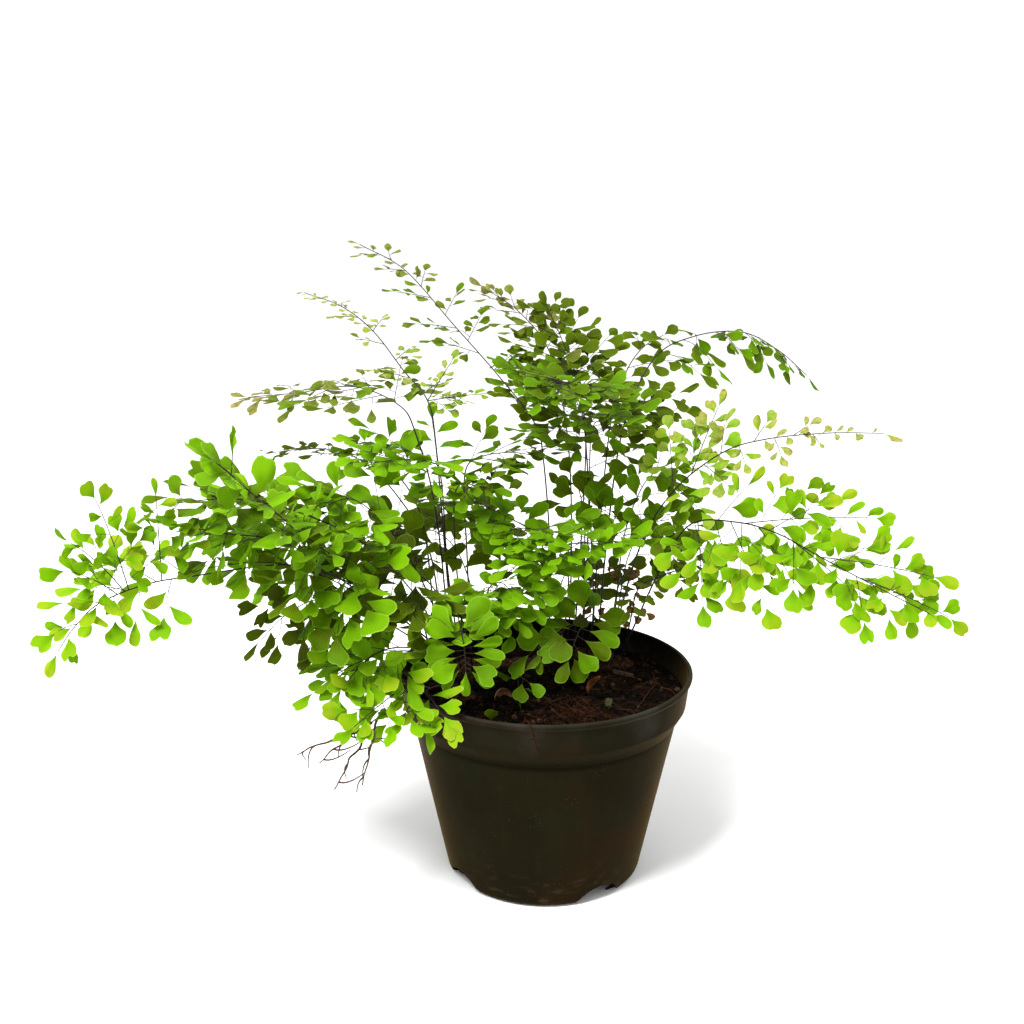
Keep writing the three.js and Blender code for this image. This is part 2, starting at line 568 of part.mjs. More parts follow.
// The stem of a frond: its curve, the number of straight lengths it is made of, and where the blade begins.
function stemOf(frond) {
  const curve = smooth(frond.stem.map(vector));
  const lengths = curve.getLengths(200);
  const from = lengths[Math.round((200 * frond.blade) / (frond.stem.length - 1))] / lengths[200];
  return { curve, steps: stepsFor(curve, STEM_STEP), from };
}

// A point on the straight lengths of a stem, and the smooth direction there. x is the share of the blade.
function onBlade({ curve, steps, from }, x, face) {
  const u = from + (1 - from) * x;
  const i = Math.min(Math.floor(u * steps), steps - 1);
  const a = curve.getPointAt(i / steps);
  const b = curve.getPointAt((i + 1) / steps);
  const start = a.lerp(b, u * steps - i);
  const tangent = curve.getTangentAt(u);
  const normal = face.clone().addScaledVector(tangent, -face.dot(tangent)).normalize();
  return { start, tangent, normal };
}

// Where each side branch of a frond starts and ends, and which way its upper side looks.
function branches(frond, stem, seed) {
  const face = vector(frond.faces).normalize();
  const list = [];
  for (let i = 0; i < frond.branches; i++) {
    const x = (i + 0.25 + 0.3 * chance(seed, i)) / (frond.branches + 0.45);
    const side = i % 2 === 0 ? 1 : -1;
    const { start, tangent, normal } = onBlade(stem, x, face);
    const length = frond.span * (1 - 0.86 * x ** frond.fill) * (0.85 + 0.3 * chance(seed, 20 + i));
    const angle = THREE.MathUtils.degToRad(66 - 24 * x + 12 * (chance(seed, 40 + i) - 0.5));
    const direction = tangent.clone().multiplyScalar(Math.cos(angle));
    direction.addScaledVector(tangent.clone().cross(normal), side * Math.sin(angle));
    direction.addScaledVector(normal, (chance(seed, 60 + i) - 0.5) * 0.35).normalize();
    const reach = length * (1 + frond.lift * direction.z) + frond.leaflet * 0.7;
    const end = start.clone().addScaledVector(direction, reach);
    end.addScaledVector(UP, -frond.droop * reach);
    list.push({ x, start, end, normal });
  }
  for (const [x, ...tip] of frond.tips) {
    const { start, normal } = onBlade(stem, x, face);
    list.push({ x, start, end: vector(tip), normal, own: true });
  }
  return list;
}

// Where the sprays of a frond go: one on each long branch, and one for the short branches towards the tip.
function sprayPlaces(frond, stem, seed) {
  const places = branches(frond, stem, seed)
    .filter(({ x, own }) => own || x < SPRAY_SHARE)
    .map((place) => ({ ...place, width: frond.leaflet * 1.15 }));
  const face = vector(frond.faces).normalize();
  const { start } = onBlade(stem, SPRAY_SHARE, face);
  const tip = onBlade(stem, 1, face);
  const end = tip.start.addScaledVector(tip.tangent, frond.leaflet * 0.6);
  const width = frond.span * 0.55 + frond.leaflet;
  return [{ start, end, normal: tip.normal, width }, ...places];
}

function touches(made, obstacles) {
  return obstacles.some((other) => boxesMeet(made, other) && !made.intersect(other).isEmpty());
}

// The leafy part of a frond. Each spray is as large as fits between the obstacles, and a crowded one is
// left out.
function foliage(frond, stem, seed, obstacles) {
  const kept = [];
  for (const place of sprayPlaces(frond, stem, seed)) {
    const fitting = SIZES.map((size) => smaller(place, size)).find(
      (made) => !touches(spray(made, CLEARANCE), obstacles) && !touches(spray(made, 0), kept),
    );
    if (fitting) {
      kept.push(spray(fitting, 0));
    }
  }
  return kept;
}

// The bare side twigs of a frond that has lost its leaflets.
function twigs(frond, stem, seed) {
  return branches(frond, stem, seed).map(({ start, end }) => {
    const middle = start.clone().lerp(end, 0.5).addScaledVector(UP, 3);
    return tube(smooth([start, middle, end]), TWIG_RADIUS, 4, 4);
  });
}

function buildFronds() {
  const stems = FRONDS.map(stemOf);
  const tubes = stems.map(({ curve, steps }) => tube(curve, STEM_RADIUS, STEM_SIDES, steps));
  const fixed = keepOut();
  const taken = [];
  FRONDS.forEach((frond, i) => {
    const seed = i * 3.7 + 1.9;
    const others = tubes.filter((_, j) => j !== i);
    const obstacles = [...others, ...taken, ...fixed];
    const parts = frond.leaflet ? foliage(frond, stems[i], seed, obstacles) : twigs(frond, stems[i], seed);
    taken.push(...parts);
    addMesh(frond.name, mainBody(joined([tubes[i], ...parts])), TONES[frond.tone], 0.55);
  });
}

function buildRoots() {
  ROOTS.forEach((points, i) => {
    const curve = smooth(points.map(vector));
    addMesh("surface_root_" + (i + 1), tube(curve, ROOT_RADIUS, 4, stepsFor(curve, 6)), 0x6a4a32, 0.8);
  });
}

function buildScraps() {
  for (const [name, x, y, turn, length, width] of SCRAPS) {
    const outline = new THREE.Shape();
    outline.moveTo(-length / 2, 0);
    outline.lineTo(-length / 5, -width / 2);
    outline.lineTo(length / 3, -width / 3);
    outline.lineTo(length / 2, width / 6);
    outline.lineTo(0, width / 2);
    outline.closePath();
    const plate = new THREE.ExtrudeGeometry(outline, { depth: LEAF_THICKNESS, bevelEnabled: false });
    plate.rotateZ(THREE.MathUtils.degToRad(turn));
    plate.translate(x, y, SOIL_LEVEL + GAP);
    addMesh(name, solid(plate), 0x6e4a26, 0.85);
  }
}

addMesh("pot", pot(), 0x26241a, 0.6);
addMesh("potting_mix", soil(), 0x2a1d16, 0.95);
addMesh("rhizome", rhizome(0), 0x3a2418, 0.85);
buildFronds();
buildRoots();
buildScraps();

export default group;
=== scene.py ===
"""A potted maidenhair fern: pot, potting mix, rhizome, fronds, roots and dry scraps, on a plain pale floor."""

import math
from collections import namedtuple

import bmesh
import bpy
from mathutils import Euler, Matrix, Vector, noise
from mathutils.geometry import interpolate_bezier


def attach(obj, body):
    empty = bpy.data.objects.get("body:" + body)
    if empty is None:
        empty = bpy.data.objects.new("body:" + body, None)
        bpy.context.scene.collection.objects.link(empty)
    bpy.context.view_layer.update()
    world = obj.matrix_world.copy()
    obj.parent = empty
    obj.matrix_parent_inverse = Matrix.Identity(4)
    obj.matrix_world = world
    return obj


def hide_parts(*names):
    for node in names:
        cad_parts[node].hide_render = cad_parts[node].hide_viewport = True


bl_info = {
    "name": "Potted maidenhair fern",
    "version": (1, 0, 0),
    "blender": (4, 5, 0),
    "location": "3D View > Sidebar > Fern",
    "description": "Builds a maidenhair fern in a nursery pot over its construction model",
    "category": "Add Mesh",
}

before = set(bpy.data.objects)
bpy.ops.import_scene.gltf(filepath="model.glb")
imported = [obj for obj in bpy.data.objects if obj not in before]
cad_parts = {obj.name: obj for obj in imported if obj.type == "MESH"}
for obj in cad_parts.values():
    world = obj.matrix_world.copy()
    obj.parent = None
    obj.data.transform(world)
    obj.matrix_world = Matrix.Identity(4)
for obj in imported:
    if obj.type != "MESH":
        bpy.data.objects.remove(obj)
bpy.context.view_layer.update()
MM = 0.001
UP = Vector((0, 0, 1))

# tone: the frond's green from TONES below, which paints its shade or light as well as its age
# A frond in millimetres, as the construction model has it:
# blade: the number of the stem's point where the side branches begin
# span, count: the length of the lowest side branch, and how many there are
# size: the length of a leaflet
# droop: how much the branches and leaflets sag
# face: the way the upper side looks
# stem: its points from foot to tip
# tips: extra branches, each with its place on the blade from 0 to 1, where it ends, and the size of its leaflets
# beside the others
# taper: how much smaller the leaflets get towards the tip
# fill: how full the blade stays towards the tip
# lift: how much longer a branch is for rising
Frond = namedtuple(
    "Frond", "name tone blade span count size droop face stem tips taper fill lift", defaults=[(), 0.22, 1, 0]
)

FRONDS = [
    Frond("frond_right_1", "sunlit", 3, 26, 8, 13, 0.08, (0.1, -0.85, 0.5),
        [(42, 34, 100), (48, 28, 120), (59, 10, 157), (70, -12, 186), (87, -40, 195), (103, -60, 195),
        (119, -77, 189), (138, -90, 181), (160, -103, 172)], [(0.3, 143, -70, 205, 0.7), (0.15, 84, -56, 168),
        (0.05, 72, -50, 159), (0.23, 98, -66, 163, 0.9), (0.36, 110, -72, 174), (0.5, 132, -88, 176),
        (0.62, 162, -95, 186, 0.9), (0.76, 168, -105, 171, 0.8)], taper=0.1, fill=2.5, lift=-0.2),
    Frond("frond_right_2", "gold", 3, 27, 11, 11, 0.05, (-0.2, -0.7, 0.7),
        [(36, 36, 100), (40, 31, 124), (50, 20, 168), (64, 8, 198), (84, -10, 221), (102, -25, 231), (126, -45, 238),
        (147, -60, 241)], [(0, 62, 18, 226, 0.8), (0.12, 84, 6, 240, 0.85)], taper=0.65, fill=0.5),
    Frond("frond_right_3", "mid", 3, 24, 11, 15, 0.55, (0.15, -0.2, 1),
        [(30, 46, 100), (33, 44, 152), (42, 62, 216), (60, 85, 252), (84, 100, 263), (112, 110, 264),
        (134, 117, 253), (152, 122, 238)], taper=0.35, lift=-0.2),
    Frond("frond_right_4", "dark", 2, 24, 7, 10, 0.2, (0, -0.4, 0.9),
        [(42, 28, 100), (45, 20, 125), (48, 11, 146), (57, 1, 155), (68, -1, 160), (78, -4, 163)]),
    Frond("frond_right_5", "mid", 2, 36, 9, 15, 0.1, (0.1, -0.75, 0.65),
        [(33, 38, 100), (38, 37, 122), (42, 38, 164), (50, 38, 190), (58, 34, 202), (66, 28, 205)]),
    Frond("frond_right_6", "mid", 2, 34, 6, 14, 0.1, (0.1, -0.7, 0.7),
        [(38, 31, 100), (39, 28, 125), (43, 24, 157), (51, 16, 177), (62, 6, 184)]),
    Frond("frond_right_7", "deep", 2, 18, 4, 13, 0.1, (0, -0.6, 0.8),
        [(21, 44, 100), (22, 45, 130), (22, 47, 170), (19, 48, 188), (15, 50, 196)]),
    Frond("frond_top_1", "olive", 3, 36, 16, 12, 0.08, (0, -0.25, 0.95),
        [(13, 44, 100), (15, 46, 130), (15, 60, 190), (11, 75, 230), (3, 88, 258), (-13, 98, 277), (-32, 105, 289)],
        taper=0.3, fill=1.3, lift=-0.6),
    Frond("frond_top_2", "deep", 2, 50, 17, 13, 0.05, (0, -0.45, 0.9),
        [(17, 47, 100), (20, 50, 150), (23, 65, 212), (19, 80, 240), (10, 92, 264), (3, 100, 278)]),
    Frond("frond_top_3", "mid", 2, 54, 17, 13, 0.05, (0, -0.2, 1),
        [(24, 40, 100), (27, 41, 130), (22, 44, 214), (17, 34, 240), (10, 12, 252), (5, -12, 250)]),
    Frond("frond_top_4", "dark", 2, 34, 10, 12, 0.1, (0, -0.45, 0.9),
        [(22, 49, 100), (24, 53, 150), (25, 60, 196), (26, 70, 212), (29, 82, 218), (35, 95, 217)]),
    Frond("frond_top_5", "deep", 2, 42, 4, 12, 0.1, (0, -0.6, 0.8),
        [(27, 48, 100), (30, 52, 160), (37, 72, 222), (46, 92, 244), (56, 104, 256), (68, 112, 262)]),
    Frond("frond_left_1", "gold", 3, 22, 8, 7, 0.05, (0, -0.12, 1),
        [(-47, 27, 100), (-51, 25, 160), (-55, 23, 219), (-59, 27, 240), (-72, 42, 253), (-89, 60, 271),
        (-107, 76, 282), (-128, 88, 288)], [(0, -47, 32, 259, 1), (0, -28, 32, 243, 0.95)], taper=0.3),
    Frond("frond_left_2", "olive", 4, 30, 10, 10, 0.05, (0, -0.12, 1),
        [(3, 40, 100), (4, 43, 150), (0, 47, 205), (-5, 54, 224), (-24, 71, 246), (-48, 92, 270), (-76, 114, 298),
        (-102, 128, 311)]),
    Frond("frond_left_3", "olive", 3, 38, 12, 13, 0.05, (0, -0.16, 1),
        [(-49, 33, 100), (-56, 34, 180), (-66, 37, 221), (-75, 43, 235), (-99, 52, 243), (-130, 62, 238),
        (-158, 72, 234)]),
    Frond("frond_left_4", "dark", 3, 20, 7, 10, 0.02, (0, 0, 1),
        [(-53, 30, 100), (-59, 34, 156), (-76, 42, 186), (-97, 52, 204), (-120, 62, 208), (-148, 74, 203)]),
    Frond("frond_left_5", "mid", 3, 26, 6, 12, 0.05, (0, -0.1, 1),
        [(-56, 27, 100), (-61, 30, 165), (-68, 35, 188), (-78, 41, 200), (-89, 46, 208), (-103, 50, 210)]),
    Frond("frond_left_6", "sunlit", 5, 23, 10, 14, 0.25, (0.1, -0.6, 0.8),
        [(-57, 10, 100), (-62, 8, 118), (-77, -4, 141), (-96, -19, 159), (-122, -36, 173), (-161, -60, 175),
        (-179, -72, 175), (-195, -89, 172), (-204, -98, 164), (-210, -104, 155)], [(0.42, -192, -93, 219, 0.68),
        (0.2, -170, -80, 216, 0.66), (0.5, -204, -101, 190, 0.9), (0.45, -203, -98, 202, 0.7)], fill=1.4, lift=0.7),
    Frond("frond_left_7", "bright", 2, 56, 9, 20, 0.12, (-0.15, -0.5, 0.85),
        [(-53, 16, 100), (-60, 12, 126), (-90, -14, 160), (-113, -46, 191), (-128, -70, 214), (-139, -86, 231)],
        [(0.9, -145, -90, 237, 0.62), (0.95, -134, -88, 239, 0.6)]),
    Frond("frond_left_8", "mid", 2, 48, 14, 18, 0.1, (-0.1, -0.3, 0.95),
        [(-54, 22, 100), (-62, 18, 133), (-88, 1, 171), (-115, -23, 194), (-143, -44, 207), (-172, -66, 210)]),
    Frond("frond_left_9", "mid", 2, 46, 7, 17, 0.12, (0, -0.35, 0.9),
        [(-53, 9, 100), (-60, 3, 122), (-86, -22, 151), (-111, -42, 172), (-131, -58, 181), (-152, -70, 182)],
        lift=0.35),
    Frond("frond_left_10", "bright", 2, 46, 15, 18, 0.32, (-0.6, -0.5, 0.6),
        [(-58, 15, 100), (-65, 12, 130), (-94, -8, 152), (-122, -32, 182), (-146, -56, 194), (-165, -75, 203)],
        lift=0.1),
    Frond("frond_left_11", "bright", 2, 48, 9, 19, 0.1, (-0.1, -0.45, 0.9),
        [(-49, 20, 100), (-58, 15, 138), (-74, 9, 172), (-87, 2, 190), (-96, -12, 199), (-106, -24, 198)]),
    Frond("frond_left_12", "dark", 3, 32, 7, 15, 0.2, (-0.2, -0.6, 0.7),
        [(-55, 4, 100), (-61, -2, 118), (-74, -10, 132), (-95, -23, 148), (-110, -31, 154), (-124, -40, 149),
        (-134, -48, 140)], lift=0.25),
    Frond("frond_left_13", "bright", 2, 30, 7, 16, 0.15, (-0.2, -0.3, 0.95),
        [(-52, -1, 100), (-59, -10, 117), (-70, -23, 125), (-82, -38, 128), (-95, -50, 126), (-108, -58, 118)]),
    Frond("frond_middle_1", "bright", 2, 44, 9, 14, 0.03, (0, -0.1, 1),
        [(-44, 31, 100), (-50, 29, 150), (-53, 29, 200), (-59, 25, 209), (-71, 13, 213), (-85, 0, 214)]),
    Frond("frond_middle_2", "mid", 2, 36, 8, 14, 0.03, (0, -0.1, 1),
        [(-38, 33, 100), (-40, 34, 155), (-41, 35, 199), (-33, 35, 209), (-17, 29, 213), (-3, 24, 212)]),
    Frond("frond_middle_3", "mid", 2, 32, 7, 13, 0.1, (0, -0.2, 1),
        [(-41, 26, 100), (-45, 24, 150), (-46, 20, 188), (-42, 11, 201), (-36, 0, 201)]),
    Frond("frond_middle_4", "bright", 3, 46, 11, 14, 0.05, (0, -0.3, 0.95),
        [(-2, 36, 100), (0, 34, 125), (0, 31, 155), (-3, 24, 171), (-10, 14, 177), (-22, 6, 177)]),
    Frond("frond_middle_5", "bright", 3, 44, 8, 15, 0.08, (0, -0.4, 0.9),
        [(10, 39, 100), (13, 35, 132), (13, 30, 158), (12, 18, 167), (17, 4, 172), (27, -8, 175)]),
    Frond("frond_middle_6", "deep", 2, 52, 12, 17, 0.1, (0, -0.4, 0.9),
        [(-43, 16, 100), (-47, 13, 118), (-53, 4, 143), (-62, -4, 157), (-74, -15, 160), (-92, -29, 156)]),
    Frond("frond_middle_7", "bright", 2, 52, 10, 15, 0.1, (0, -0.5, 0.85),
        [(-31, 22, 100), (-31, 18, 118), (-29, 7, 145), (-23, -4, 154), (-17, -16, 154)]),
    Frond("frond_middle_8", "bright", 2, 26, 8, 14, 0.1, (0, -0.75, 0.65),
        [(-10, 30, 100), (-13, 25, 116), (-17, 14, 138), (-18, 2, 148), (-19, -10, 149), (-20, -20, 142)]),
    Frond("frond_back_1", "deep", 2, 58, 13, 14, 0.1, (0, -0.3, 0.95),
        [(-34, 36, 100), (-37, 43, 130), (-46, 54, 153), (-59, 66, 161), (-75, 76, 160)]),
    Frond("frond_back_2", "dark", 1, 46, 8, 14, 0.1, (0, -0.4, 0.95),
        [(6, 44, 100), (8, 51, 120), (11, 63, 133), (16, 74, 137), (24, 86, 134)]),
    Frond("frond_back_3", "withered", 1, 20, 7, 8, 0.2, (0, -0.4, 0.95),
        [(36, 43, 100), (38, 48, 114), (40, 53, 128), (44, 58, 138), (50, 62, 140)]),
    Frond("frond_front_1", "sunlit", 2, 30, 8, 15, 0.08, (-0.1, -0.7, 0.7),
        [(-41, -12, 100.5), (-48, -22, 110), (-58, -42, 117), (-67, -58, 120), (-77, -72, 117), (-87, -84, 112)]),
    Frond("frond_front_2", "sunlit", 2, 28, 7, 14, 0.08, (-0.1, -0.6, 0.8),
        [(-38, -14, 100.5), (-44, -30, 110), (-54, -48, 116), (-62, -60, 115), (-67, -70, 109)]),
    Frond("frond_front_3", "sunlit", 2, 28, 8, 16, 0.1, (-0.1, -0.5, 0.8),
        [(-45, -8, 100.5), (-56, -17, 121), (-69, -34, 131), (-80, -50, 134), (-88, -61, 130), (-94, -68, 124)]),
    Frond("frond_front_4", "bright", 4, 4, 16, 17, 0.05, (0, -0.85, 0.5),
        [(-37, 10, 100.2), (-38, -4, 122), (-41, -24, 142), (-42, -42, 150), (-40, -51, 145), (-38.5, -55, 136),
        (-38, -57, 129)], fill=0.2),
    Frond("frond_front_5", "mid", 3, 5, 12, 18, 0.1, (0, -0.85, 0.5),
        [(32, 27, 100.4), (30, 20, 112), (27, 8, 129), (23, -4, 137), (17, -13, 132), (12, -19, 121)],
        [(0.1, -7, -17, 122, 0.85)], fill=0.2),
    Frond("frond_front_6", "mid", 1, 6, 5, 14, 0.1, (0, -0.7, 0.7),
        [(-13, -14, 98), (-14, -19, 106), (-13, -24, 112), (-9, -28, 111)], fill=0.3),
    Frond("frond_front_7", "withered", 2, 0, 0, 0, -0.15, (0, -0.7, 0.7),
        [(-49, -5, 100.5), (-58, -20, 110), (-68, -44, 112), (-77, -64, 109), (-87, -80, 107)],
        [(0.98, -113, -88, 100), (0.86, -103, -88, 96), (0.72, -97, -86, 82), (0.6, -85, -82, 82)], taper=0),
]

# For each tone, how pale its leaflets are, from 0, in deep shade, to 1, young and yellow, and how withered.
# # The tones paint light and shade as well as age: lower, back and shaded fronds get the darker ones as painted
# # shade, and lit fronds in front get the paler ones, sunlit most, as painted light.
TONES = {
    "dark": (0.10, 0.0),
    "deep": (0.30, 0.0),
    "olive": (0.42, 0.16),
    "mid": (0.52, 0.0),
    "bright": (0.76, 0.0),
    "sunlit": (0.87, 0.0),
    "gold": (0.88, 0.34),
    "withered": (0.5, 1.0),
}

# Leaflet shapes: half of the wedge's angle in degrees, how far the shoulders fall, lobes, depth of the clefts,
# lean to one side, cupping.
LEAFLET_SHAPES = [
    (31, 0.40, 1, 0.00, 0.10, 0.10),
    (36, 0.36, 2, 0.24, 0.10, -0.06),
    (25, 0.42, 1, 0.00, -0.10, 0.16),
    (39, 0.34, 2, 0.12, -0.12, 0.08),
    (30, 0.42, 1, 0.00, 0.18, 0.12),
    (41, 0.34, 3, 0.09, 0.06, -0.05),
    (21, 0.40, 1, 0.00, -0.14, 0.20),
    (36, 0.38, 2, 0.18, -0.20, 0.12),
    (28, 0.44, 1, 0.00, 0.20, -0.08),
    (40, 0.36, 2, 0.08, -0.06, 0.14),
]
DEAD_LEAF_SHAPE = (40, 0.36, 3, 0.16, 0.10, 0.30)
SEEDLING_SHAPE = (55, 0.15, 1, 0.00, 0.00, 0.10)
SCROLL_SHAPE = (52, 0.20, 1, 0.00, 0.10, 0.50)

# How long the leaflets are beside the construction model's, how wide they are for that length, and how much wider
# some are by chance.
LEAFLET_LENGTH = 1.04
LEAFLET_WIDTH = 0.64
LEAFLET_SPREAD = 0.31

# Radii of the stalks in millimetres, at the foot and at the end.
STEM = (0.5, 0.2)
BRANCH = (0.22, 0.13)
TIP_BRANCH = (0.28, 0.15)
TWIG = (0.15, 0.11)
LEAFLET_STALK = (0.11, 0.09)
DEAD_STEM = (0.4, 0.3)
DEAD_TWIG = (0.7, 0.3)
DEAD_HOOK = (0.48, 0.24)

# In millimetres, apart from the flatness.
MIX_HEIGHT = 97.2  # of the potting mix, on average
MIX_CUT = 96.5  # points of the mix above this height are its uneven surface
CRUMB_REACH = 69.5  # how far from the pot's axis the crumbs lie
ROOTLET_REACH = 69  # and the rootlets
KNOB_HEIGHT = 95.5  # of the middle of the rhizome's knobs
KNOB_FLATNESS = 0.58  # their height beside their width

# Knobs of the rhizome in millimetres: x, y, radius.
RHIZOME = [
    (-40, -13, 7), (-47, -5, 7), (-55, 4, 7), (-56, 14, 8), (-54, 26, 8), (-45, 31, 8), (-43, 17, 8),
    (-36, 32, 7), (-32, 23, 6), (-37, 10, 6), (-24, 33, 8), (-11, 32, 8), (0, 38, 7), (11, 43, 8),
    (22, 44, 9), (32, 42, 9), (40, 32, 9), (32, 27, 6),
]

# Loose roots on the mix in millimetres: radii at the start and at the end, then the points.
ROOTS = [
    (0.36, 0.18, [(-3, -37, 98), (3, -23, 98), (12, -18, 98.5), (17, -27, 98), (23, -36, 98), (31, -39, 98)]),
    (0.3, 0.18, [(2, -33, 99.8), (8, -42, 98.2), (14, -36, 98.2), (10, -29, 99.8), (16, -24, 101), (22, -27, 98.5)]),
    (0.38, 0.22, [(41, -42, 98), (46, -28, 98), (52, -12, 98.5), (57, 2, 98), (57, 17, 98)]),
    (0.34, 0.2, [(59, -3, 98), (64, -8, 98), (66, -16, 98)]),
    (0.52, 0.28, [(-10, -42, 98), (-11, -56, 100), (-10, -66, 106), (-9, -73, 109.2), (-8, -76.4, 108),
                  (-6, -76.4, 102), (-5, -76.2, 95)]),
]

# Chips of bark on the mix: x, y, turn in degrees, length and width in millimetres, dark and light colour. The
# first is a scale that has rolled up.
BARK = [
    (22, -15, 70, 6, 4, (0.030, 0.010, 0.004), (0.200, 0.062, 0.022)),
    (41, 12, -35, 13, 1.6, (0.016, 0.009, 0.005), (0.075, 0.048, 0.028)),
    (31, -27, 80, 8, 3.4, (0.008, 0.009, 0.003), (0.042, 0.045, 0.017)),
]


def chance(seed, i):
    """A repeatable number from 0 to 1."""
    s = math.sin(seed * 12.9898 + i * 78.233) * 43758.5453
    return s - math.floor(s)


def swing(seed, i):
    """The same as a number from -0.5 to 0.5."""
    return chance(seed, i) - 0.5


class Path:
    """A smooth path through points, walked by its length."""

    def __init__(self, points, fine=14):
        points = [Vector(p) for p in points]
        ends = [points[0] * 2 - points[1], *points, points[-1] * 2 - points[-2]]
        self.samples = [points[0]]
        self.marks = [0]
        for a, b, c, d in zip(ends, ends[1:], ends[2:], ends[3:]):
            span = interpolate_bezier(b, b + (c - a) / 6, c - (d - b) / 6, c, fine)
            self.samples.extend(span[1:])
            self.marks.append(len(self.samples) - 1)
        self.reach = [0.0]
        for a, b in zip(self.samples, self.samples[1:]):
            self.reach.append(self.reach[-1] + (b - a).length)
        self.length = self.reach[-1]

    def at(self, distance):
        """The point and the direction at that distance from the start."""
        distance = min(max(distance, 0.0), self.length)
        k = 0
        while k < len(self.reach) - 2 and self.reach[k + 1] < distance:
            k += 1
        step = max(self.reach[k + 1] - self.reach[k], 1e-9)
        a, b = self.samples[k], self.samples[k + 1]
        return a.lerp(b, (distance - self.reach[k]) / step), (b - a).normalized()


def lay(tangent, face):
    """The upper side's normal and the sideways direction of something that grows along tangent."""
    normal = (face - tangent * face.dot(tangent)).normalized()
    return normal, tangent.cross(normal)


def fork(tangent, across, degrees):
    """The direction that leaves tangent by that angle."""
    angle = math.radians(degrees)
    return tangent * math.cos(angle) + across * math.sin(angle)


